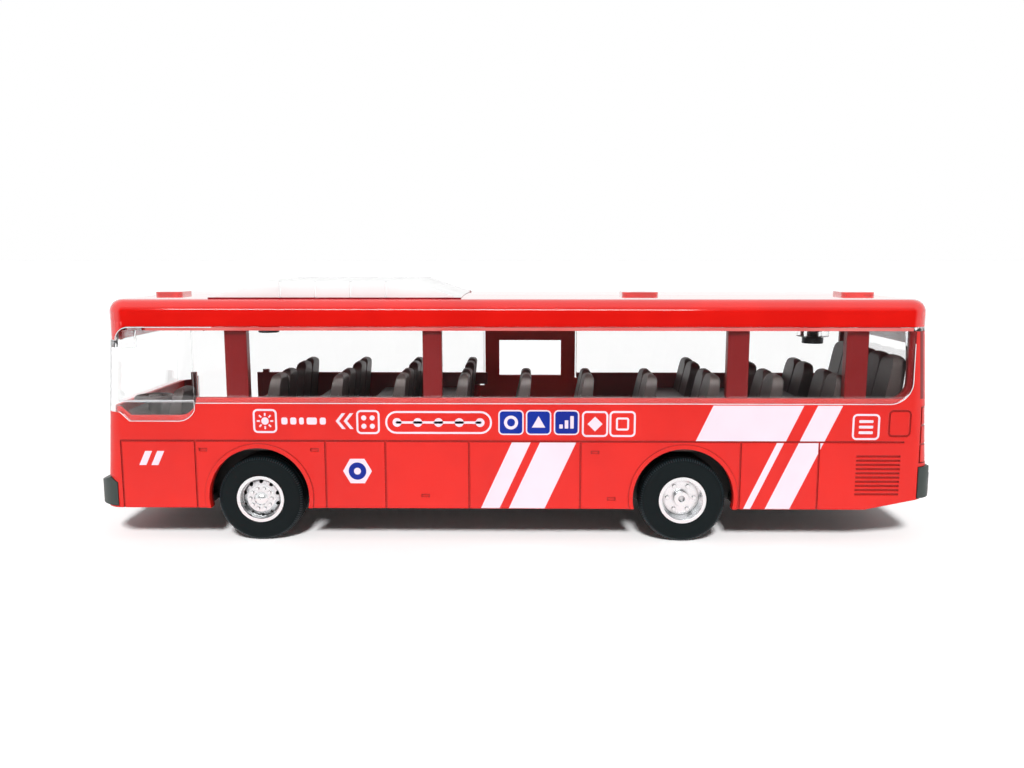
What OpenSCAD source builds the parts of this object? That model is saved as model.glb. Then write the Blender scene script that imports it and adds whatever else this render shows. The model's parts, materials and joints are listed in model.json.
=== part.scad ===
// Toy city bus: a red body on four rolling wheels, a clear window shell, a screwed-on roof,
// a moulded seat tray and a middle door that swings open.
// Millimetres, +Z up. The front of the bus points to -X and the door side to +Y.
// The origin is on the ground, under the middle of the bus.

/* [Body] */
// Length of the body without its bumpers
body_l = 177; // [174:0.5:190]
// Width of the body
body_w = 44; // [43:0.5:50]
// Corner radius of the body in plan
corner_r = 4; // [3:0.5:5]
// Lean of the body's ends, in degrees
end_lean = 3.8; // [3:0.1:4.2]
// Height of the lower edge of the side skirts
skirt_z = 7.4; // [7:0.1:8]
// Height of the side panels' top edge, where the glass starts
waist_z = 30.2; // [29:0.1:31.5]
// Thickness of the body's walls
wall = 2; // [1.8:0.1:2.4]
// Height of the lip behind the glass, above the side panels
sill_lip = 1.25; // [0.8:0.05:1.4]
// Height of the long engraved belt line
belt_z = 22.15; // [21.8:0.05:23.5]
// Width of an engraved panel line
groove_w = 0.4; // [0.3:0.05:0.6]
// Depth of an engraved panel line
groove_d = 0.25; // [0.15:0.05:0.4]
// How far the front bumper stands out of the body's front
front_proud = 2.9; // [2:0.1:3.4]
// How far the rear bumper stands out of the body's rear
rear_proud = 1.5; // [1.2:0.1:2.5]
// How far the bumpers reach round the body's corners
bumper_reach = 2.6; // [2.5:0.1:4]
// Gap left between pieces that are seated on each other
seam = 0.1; // [0.05:0.01:0.15]

/* [Wheels] */
// Distance of the front axle from the body's front
front_overhang = 33.3; // [32:0.1:34.5]
// Distance of the rear axle from the body's rear
rear_overhang = 52.5; // [48:0.1:54.5]
// Outer diameter of a tyre
tyre_d = 18.4; // [17.6:0.1:18.8]
// Width of a tyre
tyre_w = 6.5; // [5.8:0.1:7]
// Diameter of the rim where the tyre sits
rim_d = 10.2; // [9.8:0.1:10.8]
// How far the wheels stand behind the body's sides
wheel_inset = 0.4; // [0.2:0.1:0.8]
// Diameter of an axle
axle_d = 2; // [1.6:0.1:2.4]
// Radial running clearance of an axle in its bearings
axle_play = 0.05; // [0.03:0.01:0.09]
// Radial clearance of pieces that are pressed together
press_gap = 0.02; // [0.01:0.01:0.04]
// Radius of a wheel arch
arch_r = 10.8; // [10.6:0.1:11]
// Height of a wheel arch's centre above the axle
arch_lift = 0.6; // [0.3:0.1:1]
// Width of the raised flange round a wheel arch
flange_w = 0.9; // [0.6:0.1:1]
// How far that flange stands proud of the body's side
flange_proud = 0.25; // [0.15:0.05:0.4]

/* [Glass] */
// Thickness of the clear shell
glass_t = 0.9; // [0.7:0.1:1]
// Width of the body's rear posts, behind the side glass
rear_post_w = 4.7; // [4.5:0.1:6]
// Radius of the side glass's rear lower corner
glass_corner_r = 4.8; // [3:0.1:6]
// Height of the windscreen's lower edge
screen_z = 28.25; // [27.5:0.05:29]
// Height of the driver's window's lower edge
dip_z = 26.3; // [25.5:0.1:27]
// Distance of the driver's window from the body's front
dip_front = 4.1; // [3.6:0.1:4.5]
// Length of the driver's window before it curves up
dip_l = 12.4; // [11:0.1:13]
// Thickness of the shell's top rim
rim_t = 0.7; // [0.6:0.1:1]
// Width of the shell's top rim
rim_w = 3.5; // [3:0.1:4]

/* [Roof] */
// Height of the roof's lower edge
roof_z = 46.6; // [45.8:0.1:48]
// Height of the roof's edge
roof_h = 5.7; // [5.2:0.1:6.5]
// Rise of the roof's middle above its edge
crown = 0.1; // [0.05:0.05:0.4]
// Radius of the roof's upper edges
roof_edge_r = 2.7; // [2:0.1:3]
// Thickness of the roof
roof_t = 1.5; // [1.2:0.1:1.8]
// How far the roof's ends stand behind the body's ends
roof_end_inset = 1.65; // [1.4:0.05:2]
// How far the roof's sides stand behind the body's sides
roof_side_inset = 0.3; // [0.1:0.05:0.5]
// Height of the front header's lower edge, above the windscreen
header_z = 43.7; // [43:0.1:44.5]
// Length of the header along the sides
header_l = 6.8; // [6:0.1:8]
// Height of the roof hatches above the roof's edge
hatch_h = 0.8; // [0.5:0.1:1.2]
// Width of the roof hatches across the bus
hatch_w = 7.5; // [6:0.5:10]

/* [Roof pod] */
// Distance of the pod's base from the body's front
pod_setback = 22.9; // [22:0.1:24.5]
// Length of the pod's base
pod_l = 54.2; // [51:0.1:56]
// Width of the pod
pod_w = 38; // [34:0.5:38]
// Height of the pod above the roof's edge
pod_h = 3.7; // [3:0.1:4.5]
// Length of the pod's sloping ends
pod_slope = 10.6; // [9:0.1:12]

/* [Middle door] */
// Place of the hinge along the bus
hinge_x = -10.4; // [-11:0.1:-9.5]
// Width of the door from the hinge to its free edge
door_w = 26.6; // [25.5:0.1:28]
// Height of the doorway's threshold
threshold_z = 10; // [9.6:0.1:11]
// Height of the door's top edge
door_top_z = 42.5; // [41.5:0.05:43]
// Thickness of the door
door_t = 1.2; // [1:0.1:1.4]
// Gap round the door
door_gap = 0.4; // [0.3:0.05:0.5]
// Width of the bars round the door's window
frame_bar = 3.6; // [3:0.1:4.5]
// Radius of the hinge's barrel
barrel_r = 0.9; // [0.8:0.05:0.95]
// Radius of the hinge pegs
peg_r = 0.5; // [0.4:0.05:0.6]
// Radial running clearance of the hinge pegs
peg_play = 0.05; // [0.03:0.01:0.09]

/* [Seats] */
// Distance of the first row's backs from the body's front
first_row = 34.8; // [33.5:0.1:35.5]
// Distance from row to row
row_pitch = 13.5; // [13:0.1:13.6]
// Height of the seat backs' tops
seat_top_z = 36; // [35:0.1:36.3]
// Width of one seat back
seat_w = 7.1; // [6.8:0.1:7.2]
// Height of the rear bench's top
bench_top_z = 40.2; // [39:0.1:40.6]
// Height of the tray's floor
floor_z = 20.8; // [20.6:0.1:21.2]
// Thickness of the tray's floor
floor_t = 1.2; // [1:0.1:1.3]
// Radius of the steering wheel
wheel_r = 3.7; // [3:0.1:3.8]

/* [Screws] */
// Radius of a screw's head
head_r = 2.4; // [2:0.1:2.6]
// Height of a screw's head
head_h = 1.6; // [1.2:0.1:1.8]
// Radius of a screw's shank
shank_r = 1.3; // [1:0.05:1.4]

/* [Hidden] */
$fn = 48;

// Colours as the toy shows them
red_plastic = "#d8201a";
roof_red = "#e01610";
white_plastic = "#f2f2f2";
clear_plastic = [0.85, 0.9, 0.95, 0.35];
tray_grey = "#57504d";
dark_grey = "#4c5451";
chassis_black = "#202322";
tyre_black = "#1b2021";
plated = "#c9ccd0";
steel = "#8d9094";

// A cut reaches this far past the face it opens
over = 1;

// An inner corner is at least this round
least_r = 0.4;

// Left and right, or front and rear
both = [-1, 1];

// Overall places
half_l = body_l / 2;
half_w = body_w / 2;
lean_z = 19;
lean_run = 40;
front_axle_x = -half_l + front_overhang;
rear_axle_x = half_l - rear_overhang;
axle_z = tyre_d / 2;
axle_xs = [front_axle_x, rear_axle_x];
wheel_y = half_w - wheel_inset;
arch_z = axle_z + arch_lift;
rim_top_z = roof_z - seam;
rim_low_z = rim_top_z - rim_t;
roof_l = body_l - 2 * roof_end_inset;
roof_w = body_w - 2 * roof_side_inset;
roof_edge_z = roof_z + roof_h;
roof_inside_z = roof_edge_z - roof_t;
header_x = -half_l + header_l;
header_t = 0.9;
header_lap = header_t + seam + glass_t + roof_side_inset;
glass_gap = glass_t + seam;
glass_rear_x = half_l - rear_post_w;
dip_front_x = -half_l + dip_front;
dip_rear_x = dip_front_x + dip_l;
pane_line_w = 0.3;
pane_line_d = 0.15;
pane_line_lift = 0.4;
pane_line_z = waist_z + pane_line_lift;
pane_line_x = dip_rear_x + waist_z - dip_z - pane_line_w;
floor_low_z = floor_z - floor_t;
floor_gap = 0.3;

// Engraved lines: the belt and the panel joints below it
belt_front = 3.9;
belt_rear = 6;
belt_front_x = -half_l + belt_front;
belt_rear_x = half_l - belt_rear;
front_panels = [belt_front, 19.8, 47.8, 60.7];
middle_panels = [-9.9, 13.9];
rear_panels = [40.5, 23.9];
panel_xs = concat([for (d = front_panels) -half_l + d], middle_panels, [for (d = rear_panels) half_l - d]);

// Louvres of the engine bay, and the filler flap above them
louvre_n = 10;
louvre_pitch = 0.92;
louvre_lift = 3.2;
louvre_low_z = skirt_z + louvre_lift;
louvre_setback = 6.6;
louvre_rear_x = half_l - louvre_setback;
louvre_l = 9.3;
flap_setback = 7.2;
flap_x = half_l - flap_setback;
flap_size = [4.8, 5.8];
flap_r = 1;

// Hand holds of the side hatches: distance from the front axle and height
hold_at = [[-11.8, 20.2], [12.2, 20.2], [35.9, 10.2], [72.2, 19.8], [75.8, 9.6]];
hold_size = [1.8, 0.7];

// Pillars behind the near side's glass: place and width, from the body's front and then from its rear
front_pillars = [[29.3, 4.7], [70.9, 4]];
rear_pillars = [[41.6, 4.5], [16.7, 4.6]];
pillars = concat([for (p = front_pillars) [-half_l + p[0], p[1]]],
                 [for (p = rear_pillars) [half_l - p[0], p[1]]]);
pillar_d = 2;

// Lamps of the front, as distance from the middle and radius, and the lines between them
lamp_z = 17.4;
front_lamps = [[15.4, 2.3], [10.2, 1.7]];
lamp_proud = 0.4;
grille_w = 14;
grille_n = 4;
grille_pitch = 1.2;

// Rear lamps, let into the rear corners, and the rear window
rear_lamp_z = 17.5;
rear_lamp_h = 12.2;
rear_lamp_w = 5.4;
rear_lamp_wrap = 2.6;
rear_lamp_d = 0.35;
rear_lens_n = 3;
rear_window_side = 7;
rear_window_w = body_w - 2 * rear_window_side;
rear_window_sill = 1;
rear_window_head = 3.6;
rear_window_low_z = waist_z + rear_window_sill;
rear_window_top_z = roof_z - rear_window_head;
rear_pane_lap = 1;

// Engine lid of the rear wall, engraved as a frame
lid_w = 26;
lid_h = 10.4;
lid_low_z = 17.8;

// Front doorway, closed by a clear panel of the window shell
entry_front = 5.3;
entry_behind = 1.2;
entry_step = 2.2;
entry_front_x = -half_l + entry_front;
entry_rear_x = front_axle_x - arch_r - entry_behind;
entry_z = skirt_z + entry_step;
entry_lug = [1.5, 0.8];

// Middle door: the leaf swings on a barrel with a peg at each end
hinge_y = half_w - barrel_r;
lug_h = 1.8;
lug_wall = 0.7;
barrel_top_z = waist_z - lug_h;
barrel_low_z = threshold_z + seam;
lug_reach = barrel_r + lug_wall;
doorway_front_x = hinge_x - barrel_r - door_gap;
doorway_rear_x = hinge_x + door_w + door_gap;
frame_step = 0.3;
frame_end = 1.2;
frame_front_x = hinge_x + lug_reach + door_gap + frame_step;
frame_rear_x = hinge_x + door_w - frame_end;
frame_mid_x = (frame_front_x + frame_rear_x) / 2;
panel_drop = 0.2;
panel_top_z = waist_z - panel_drop;
peg_l = 1.3;
stop_w = 0.9;
stop_gap = 0.15;
stop_root = 0.5;
window_sill = 0.5;
window_head = 2.7;

// Rear underside, which rises towards the rear bumper
kick_l = 13.6;
kick_x = half_l - kick_l;
kick_rise = 3;

// Screws that hold the chassis, and the posts they bite into
front_post = 50.5;
rear_post = 18.5;
post_xs = [-half_l + front_post, half_l - rear_post];
post_side = 3.6;
post_y = half_w - wall - post_side;
post_r = 2.5;
post_web = 1.2;
chassis_lift = 0.2;
chassis_low_z = skirt_z + chassis_lift;
chassis_t = 1.6;
chassis_top_z = chassis_low_z + chassis_t;
chassis_gap = 0.3;
head_sink = 0.2;
cup_floor = 1.4;
cup_wall = 1.1;
screw_seat_z = chassis_low_z + head_h + head_sink;
cup_top_z = screw_seat_z + cup_floor;
cup_r = head_r + cup_wall;
screw_bite = 6;
screw_tip = 0.4;

// Ledge on the front wall that carries the tray
ledge_w = 24;
ledge_d = 2;
ledge_h = 1.2;

// Bearing blocks and rails of the chassis
bearing_w = 6;
bearing_l = 6;
bearing_side = 2.1;
bearing_y = wheel_y - tyre_w - bearing_side - bearing_w / 2;
bearing_top = 3;
rail_side = 1.5;
rail_y = bearing_y - bearing_w / 2 - rail_side;
rail_w = 1.6;
rail_h = 1.4;
rail_end = 9;
well_gap = 0.6;

// Screws that hold the window shell to the roof: place, and the boss's length below the roof
front_boss = [30.5, 1.4];
rear_boss = [19.4, 3.8];
roof_screws_at = [[-half_l + front_boss[0], front_boss[1]], [half_l - rear_boss[0], rear_boss[1]]];
boss_r = 3.6;

// Ribs that hang from the roof, inside the window shell's top rim
rib_t = 0.8;
rib_y = half_w - rim_w - seam - rib_t;
rib_end = 2;

// Roof hatches: place and length, the first from the body's front and the others from its rear
front_hatch = [8.5, 6.2];
rear_hatches = [[60.1, 8.3], [10.4, 7.5]];
hatches = concat([[-half_l + front_hatch[0], front_hatch[1]]],
                 [for (h = rear_hatches) [half_l - h[0], h[1]]]);
hatch_r = 1.2;

// Pod and its grooves
pod_front_x = -half_l + pod_setback;
pod_grooves = 4;
pod_groove_start = 15.6;
pod_groove_x = pod_front_x + pod_groove_start;
pod_groove_pitch = 7.5;

// Bumper outlines, as heights above the skirt
bumper_sink = 0.8;
front_bumper_low = 0.4;
front_bumper_nose = 5.2;
front_bumper_top = 6.6;
front_bumper_tail = 5.4;
rear_bumper_low = 2.5;
rear_bumper_chin = 3.4;
rear_bumper_nose = 7.1;
rear_bumper_step = 7.9;
rear_bumper_top = 9.3;
rear_step_proud = 0.5;

// Rear bench: five backs side by side fill the cabin's width
bench_n = 5;
bench_t = 2.8;
bench_gap = 0.6;
bench_base = 6;
bench_l = 7.8;
bench_setback = 9.1;
bench_x = half_l - bench_setback;
bench_front_x = bench_x + bench_t - bench_l;

// Double seats on both sides of the aisle, as many rows as fit, with a standing bay at the middle door
seat_side_y = half_w - glass_gap - pillar_d - floor_gap;
seat_gap = 1;
seat_y = seat_side_y - seat_w - seat_gap / 2;
bench_pitch = 2 * seat_side_y / bench_n;
first_row_x = -half_l + first_row;
last_row_gap = 3;
seat_rows = floor((bench_front_x - last_row_gap - first_row_x) / row_pitch) + 1;
bay_l = 20;
bay_rear_x = hinge_x + door_w + bay_l;
seat_t = 2.2;
seat_lean = 0.09;
seat_flare = 1.1;
seat_round = 2.8;
cushion_z = 7;
cushion_t = 2;
cushion_l = 9.2;
foot_l = 4.6;

// Driver's place
driver_side = 11;
driver_y = -half_w + driver_side;
driver_setback = 12.1;
driver_x = -half_l + driver_setback;
driver_top_z = 32.3;
driver_w = 8.4;
driver_base = 1.6;
dash_h = 4.6;
dash_low_z = floor_z + dash_h;
dash_r = 2.2;
dash_l = 4.9;
dash_end_y = 7;
column_setback = 7.3;
column_x = -half_l + column_setback;
column_r = 1.4;
column_drop = 0.6;
column_top_z = screen_z + sill_lip - column_drop;
wheel_tube_r = 0.6;
wheel_hub_r = 1.2;
wheel_lift = 0.9;
stub_r = 0.7;
stub_l = 2.5;

// Wheel sections
shoulder_r = 1.3;
bead_r = 0.5;
tread_groove = [0.35, 0.5];
barrel_wall = 0.7;
barrel_back = 0.3;
hub_r = 2;
front_disc_z = -0.5;
front_disc_t = 1.9;
front_drop = 1;
nut_shelf = 0.6;
front_hole_ring = 3.75;
front_hole_r = 0.45;
front_nut_ring = 2.3;
front_nut_r = 0.34;
front_nut_h = 0.35;
front_n = 10;
cap_r = 1.6;
cap_h = 0.6;
cap_sphere_r = 2.2;
front_bore_end = 1.7;
dish = 2.6;
dish_t = 0.9;
dish_floor_r = 3.85;
rear_hub_r = 1.55;
rear_hub_h = 1.4;
rear_stud_ring = 2.9;
rear_stud_r = 0.36;
rear_stud_h = 0.5;
rear_n = 6;
rear_dimple_r = 0.72;
axle_end_gap = 0.2;

// A flat rounded rectangle about the origin
module slab(l, w, r) {
    square([l - 2 * r, w], center = true);
    square([l, w - 2 * r], center = true);
    for (sx = both, sy = both)
        translate([sx * (l / 2 - r), sy * (w / 2 - r)])
            circle(r);
}

// The body's outline in plan, moved inwards
module plan(inset = 0) {
    slab(body_l - 2 * inset, body_w - 2 * inset, max(corner_r - inset, least_r));
}

// Children that lean with one end of the body, which has its full length at lean_z
module on_end(end) {
    translate([end * half_l, 0, lean_z])
        rotate([0, -end * end_lean, 0])
            translate([-end * half_l, 0, -lean_z])
                children();
}

// One end's outline in plan, moved inwards and extruded; it runs on past the other end
module end_form(end, inset) {
    on_end(end)
        translate([-end * lean_run / 2, 0, -half_l])
            linear_extrude(body_l)
                slab(body_l + lean_run - 2 * inset, body_w - 2 * inset, max(corner_r - inset, least_r));
}

// The body's closed form between two heights, moved inwards
module form(inset, low, high) {
    intersection() {
        end_form(-1, inset);
        end_form(1, inset);
        block([-body_l, -body_w, low], [body_l, body_w, high]);
    }
}

// A wall that follows the body's outline
module wall_ring(outer, inner, low, high) {
    difference() {
        form(outer, low, high);
        form(inner, low - over, high + over);
    }
}

// A side-view shape (X, Z), extruded along Y between two places
module across(low_y, high_y) {
    translate([0, high_y, 0])
        rotate([90, 0, 0])
            linear_extrude(high_y - low_y)
                children();
}

// A box from two corners
module block(low, high) {
    translate(low)
        cube(high - low);
}

// The side glass in side view, moved inwards by a lip; each edge of the opening comes from here
module band(lip, top) {
    rear = glass_rear_x - lip;
    low = waist_z + lip;
    r = glass_corner_r - lip;
    difference() {
        translate([-half_l - over, low])
            square([rear + half_l + over, top - low]);
        translate([rear - r, low])
            difference() {
                translate([0, -over])
                    square([r + over, r + over]);
                translate([0, r])
                    circle(r);
            }
    }
    translate([-half_l - over, screen_z + lip])
        square([dip_front + over, top - screen_z - lip]);
}

// The driver's window, which dips below the waist
module driver_dip(lip) {
    low = dip_z + lip;
    top = waist_z + lip + over;
    r = waist_z - dip_z;
    ramp = screen_z - dip_z;
    polygon([
        [dip_front_x - over, screen_z + lip], [dip_front_x, screen_z + lip],
        [dip_front_x + ramp, low], [dip_rear_x, low],
        [dip_rear_x, top], [dip_front_x - over, top]
    ]);
    intersection() {
        translate([dip_rear_x, waist_z + lip])
            circle(r);
        translate([dip_rear_x - over, low])
            square([r + over, r]);
    }
}

// The front doorway in side view
module entry(gap) {
    translate([entry_front_x + gap, entry_z + gap])
        square([entry_rear_x - entry_front_x - 2 * gap, waist_z + sill_lip + over - entry_z - gap]);
}

// The middle doorway in side view: the corner over the hinge is left for the upper peg
module doorway(top) {
    translate([doorway_front_x, threshold_z])
        square([doorway_rear_x - doorway_front_x, barrel_top_z + seam - threshold_z]);
    translate([hinge_x + lug_reach, threshold_z])
        square([doorway_rear_x - hinge_x - lug_reach, waist_z - threshold_z]);
    translate([frame_front_x - door_gap, threshold_z])
        square([frame_rear_x - frame_front_x + 2 * door_gap, top - threshold_z]);
}

// The window openings of both sides: the driver's side, then the door side
module window_cut(lip, top) {
    across(-half_w - over, 0) {
        band(lip, top);
        driver_dip(lip);
    }
    across(0, half_w + over)
        band(lip, top);
}

// The skirt's rising underside at the rear, as a cutting wedge
module kick_cut() {
    across(-half_w - over, half_w + over)
        polygon([
            [kick_x, skirt_z], [half_l + over, skirt_z + kick_rise],
            [half_l + over, skirt_z - over], [kick_x, skirt_z - over]
        ]);
}

// The bumpers' outlines in side view
module front_bumper_side(gap) {
    x = -half_l;
    nose_x = x - front_proud - gap;
    tail_x = x + bumper_reach + gap;
    translate([0, skirt_z])
        polygon([
            [nose_x, front_bumper_low - gap], [tail_x, front_bumper_low - gap],
            [tail_x, front_bumper_tail + gap], [x + bumper_reach / 3, front_bumper_top + gap],
            [nose_x, front_bumper_nose + gap]
        ]);
}

module rear_bumper_side(gap) {
    x = half_l;
    nose_x = x + rear_proud + gap;
    tail_x = x - bumper_reach - gap;
    step_x = x + rear_step_proud + gap;
    translate([0, skirt_z])
        polygon([
            [tail_x, rear_bumper_low - gap], [step_x, rear_bumper_low - gap],
            [nose_x, rear_bumper_chin - gap], [nose_x, rear_bumper_nose + gap],
            [step_x, rear_bumper_step + gap], [step_x, rear_bumper_top + gap],
            [tail_x, rear_bumper_top + gap]
        ]);
}

// A bumper: a band round one end that is let into the body
module bumper(proud) {
    intersection() {
        difference() {
            translate([0, 0, skirt_z])
                linear_extrude(waist_z - skirt_z)
                    slab(body_l + 2 * proud, body_w + 2 * flange_proud, corner_r + proud);
            form(bumper_sink, skirt_z - over, waist_z + over);
        }
        across(-half_w - over, half_w + over)
            children();
    }
}

// The seat that a bumper leaves in the body
module bumper_cut() {
    intersection() {
        wall_ring(-front_proud - over, bumper_sink + seam, skirt_z - over, waist_z);
        across(-body_w, body_w)
            children();
    }
}

// A wheel arch's flange, only above the skirt
module arch_flange(x, side) {
    intersection() {
        translate([x, side * (half_w - wall / 2), arch_z])
            rotate([90, 0, 0])
                cylinder(r = arch_r + flange_w, h = wall + 2 * flange_proud, center = true);
        block([x - 2 * arch_r, -body_w, skirt_z], [x + 2 * arch_r, body_w, waist_z]);
    }
}

// A shallow cutter on one side, between two places and two heights
module side_groove(side, x0, x1, z0, z1) {
    y = side * half_w;
    block([x0, y - groove_d, z0], [x1, y + groove_d, z1]);
}

// A shallow cutter on one end, between two places across and two heights
module end_groove(end, y0, y1, z0, z1) {
    x = end * half_l;
    block([x - groove_d, y0, z0], [x + groove_d, y1, z1]);
}

// Engraved panel lines of one side, from the belt down
module panel_lines(side) {
    h = groove_w / 2;
    side_groove(side, belt_front_x, belt_rear_x, belt_z - h, belt_z + h);
    for (x = panel_xs)
        side_groove(side, x - h, x + h, skirt_z - over, belt_z);
}

module louvres(side) {
    for (i = [0 : louvre_n - 1]) {
        z = louvre_low_z + i * louvre_pitch;
        side_groove(side, louvre_rear_x - louvre_l, louvre_rear_x, z, z + groove_w);
    }
}

// The filler flap: an engraved rounded frame
module filler_flap(side) {
    translate([flap_x, side * half_w + groove_d, (belt_z + waist_z) / 2])
        rotate([90, 0, 0])
            linear_extrude(2 * groove_d)
                difference() {
                    slab(flap_size[0], flap_size[1], flap_r);
                    slab(flap_size[0] - 2 * groove_w, flap_size[1] - 2 * groove_w, flap_r - groove_w);
                }
}

module hand_holds(side) {
    for (p = hold_at)
        side_groove(side, front_axle_x + p[0] - hold_size[0] / 2, front_axle_x + p[0] + hold_size[0] / 2,
                    p[1] - hold_size[1] / 2, p[1] + hold_size[1] / 2);
}

// A front lamp: a round boss with a raised rim
module front_lamp(y, r) {
    translate([-half_l + over, y, lamp_z])
        rotate([0, -90, 0])
            difference() {
                cylinder(r = r, h = over + lamp_proud);
                translate([0, 0, over + lamp_proud / 2])
                    cylinder(r = r - lamp_proud, h = over);
            }
}

// Lines of the front grille, between the lamps
module grille_lines() {
    for (i = [0 : grille_n - 1]) {
        z = lamp_z + (i - (grille_n - 1) / 2) * grille_pitch;
        end_groove(-1, -grille_w / 2, grille_w / 2, z - groove_w / 2, z + groove_w / 2);
    }
}

// Lines of the engine lid, on the rear wall
module engine_lid() {
    high_z = lid_low_z + lid_h;
    for (z = [lid_low_z, high_z])
        end_groove(1, -lid_w / 2, lid_w / 2, z - groove_w / 2, z + groove_w / 2);
    for (s = both)
        end_groove(1, s * lid_w / 2 - groove_w / 2, s * lid_w / 2 + groove_w / 2, lid_low_z, high_z);
}

// A zone round both rear corners, for the lamps
module rear_corners(gap, low, high) {
    inner_y = half_w - rear_lamp_w + gap;
    for (s = both)
        translate([half_l - rear_lamp_wrap + gap, s > 0 ? inner_y : -half_w - over, low])
            cube([rear_lamp_wrap + over, half_w + over - inner_y, high - low]);
}

module rear_lamp_recess() {
    high = rear_lamp_z + rear_lamp_h;
    intersection() {
        wall_ring(-over, rear_lamp_d, rear_lamp_z, high);
        rear_corners(0, rear_lamp_z, high);
    }
}

// Lenses in that recess, one above the other
module rear_lenses() {
    pitch = rear_lamp_h / rear_lens_n;
    for (i = [0 : rear_lens_n - 1]) {
        low = rear_lamp_z + i * pitch + groove_w / 2;
        high = rear_lamp_z + (i + 1) * pitch - groove_w / 2;
        intersection() {
            wall_ring(rear_lamp_d / 4, wall, low, high);
            rear_corners(groove_w, low, high);
        }
    }
}

// A post for a chassis screw, tied to the side wall
module screw_post(x, side) {
    low = cup_top_z + seam;
    high = floor_low_z - seam;
    translate([x, side * post_y, low])
        cylinder(r = post_r, h = high - low);
    translate([x - post_web / 2, side * (post_y + half_w - over) / 2, low])
        translate([0, -(half_w - over - post_y) / 2, 0])
            cube([post_web, half_w - over - post_y, high - low]);
}

// Strips behind the middle door's edges, which it shuts against
module door_stops() {
    y = [half_w - wall, half_w - door_t - stop_gap];
    block([doorway_rear_x - stop_w, y[0], threshold_z - seam],
          [doorway_rear_x + stop_root, y[1], waist_z + seam]);
    block([hinge_x + lug_reach - stop_root, y[0], barrel_top_z + seam],
          [frame_front_x + stop_root, y[1], waist_z + sill_lip]);
}

module body_shell() color(red_plastic) {
    difference() {
        union() {
            difference() {
                wall_ring(0, wall, skirt_z, rim_low_z - seam);
                window_cut(sill_lip, roof_z + over);
                intersection() {
                    wall_ring(-over, glass_gap, skirt_z, roof_z);
                    window_cut(0, roof_z + over);
                }
                rear_lamp_recess();
            }
            rear_lenses();
            for (p = pillars)
                block([p[0] - p[1] / 2, -half_w + glass_gap, waist_z],
                      [p[0] + p[1] / 2, -half_w + glass_gap + pillar_d, rim_low_z - seam]);
            for (x = axle_xs, s = both)
                arch_flange(x, s);
            for (x = post_xs, s = both)
                screw_post(x, s);
            // lug on the wall behind the front doorway
            block([entry_rear_x + entry_lug[0], half_w - wall, waist_z],
                  [entry_rear_x + 2 * entry_lug[0], half_w - glass_gap, waist_z + sill_lip + entry_lug[1]]);
            block([-half_l + wall - seam, -ledge_w / 2, floor_low_z - seam - ledge_h],
                  [-half_l + wall + ledge_d, ledge_w / 2, floor_low_z - seam]);
            on_end(-1)
                for (l = front_lamps, s = both)
                    front_lamp(s * l[0], l[1]);
        }
        for (x = axle_xs)
            translate([x, 0, arch_z])
                rotate([90, 0, 0])
                    cylinder(r = arch_r, h = 2 * body_w, center = true);
        for (x = post_xs, s = both)
            translate([x, s * post_y, cup_top_z])
                cylinder(r = shank_r + press_gap, h = screw_bite);
        across(half_w - wall - over, half_w + over) {
            entry(0);
            doorway(roof_z);
        }
        for (z = [threshold_z - peg_l - seam, barrel_top_z])
            translate([hinge_x, hinge_y, z])
                cylinder(r = peg_r + peg_play, h = peg_l + 2 * seam);
        on_end(1)
            block([half_l - wall - over, -rear_window_w / 2, rear_window_low_z],
                  [half_l + over, rear_window_w / 2, rear_window_top_z]);
        for (s = both) {
            panel_lines(s);
            louvres(s);
            filler_flap(s);
            hand_holds(s);
        }
        on_end(-1)
            grille_lines();
        on_end(1)
            engine_lid();
        kick_cut();
        bumper_cut()
            front_bumper_side(seam);
        bumper_cut()
            rear_bumper_side(seam);
    }
    door_stops();
}

// The roof's closed outer form: rounded upper edges and a crowned top
module roof_form(grow = 0) {
    l = roof_l + 2 * grow;
    w = roof_w + 2 * grow;
    h = roof_h + grow;
    r = corner_r + grow;
    e = roof_edge_r + grow;
    steps = 8;
    crown_l = roof_l - 6 * roof_edge_r;
    crown_w = roof_w - 2 * roof_edge_r;
    sliver = 0.01;
    hull() {
        for (sx = both, sy = both)
            translate([sx * (l / 2 - r), sy * (w / 2 - r), roof_z])
                rotate_extrude($fn = 32)
                    intersection() {
                        union() {
                            square([r, h - e]);
                            square([r - e, h]);
                            translate([r - e, h - e])
                                circle(e, $fn = 32);
                        }
                        square([r, h]);
                    }
        for (i = [-steps : steps]) {
            t = i / steps;
            translate([-crown_l / 2, t * crown_w / 2 - sliver / 2, roof_z])
                cube([crown_l, sliver, h + crown * (1 - t * t)]);
        }
    }
}

// The header in side view: it curves up to the roof's edge behind the windscreen
module header_side(gap) {
    r = roof_z - header_z;
    difference() {
        translate([-half_l - over, header_z - gap])
            square([header_l + over, r + gap + over]);
        translate([header_x, header_z])
            circle(r - gap);
    }
}

module header() {
    intersection() {
        translate([0, 0, header_z])
            linear_extrude(roof_z + over - header_z)
                difference() {
                    slab(roof_l, roof_w, corner_r);
                    slab(roof_l - 2 * header_t, roof_w - 2 * header_t, corner_r - header_t);
                }
        across(-half_w, half_w)
            header_side(0);
    }
}

// A roof hatch: a low rounded lid on the crown
module hatch(x, l) {
    translate([x, 0, roof_inside_z + seam])
        linear_extrude(roof_t + hatch_h - seam)
            slab(l, hatch_w, hatch_r);
}

// A rib inside the window shell's rim, open where the shell's bridges cross
module roof_rib(side) {
    difference() {
        translate([0, side * (rib_y + rib_t / 2) - rib_t / 2, 0])
            block([header_x + rib_end, 0, rim_low_z], [glass_rear_x - rib_end, rib_t, roof_inside_z + seam]);
        for (p = roof_screws_at)
            block([p[0] - boss_r - floor_gap, -half_w, rim_low_z - over],
                  [p[0] + boss_r + floor_gap, half_w, roof_z]);
    }
}

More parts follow.
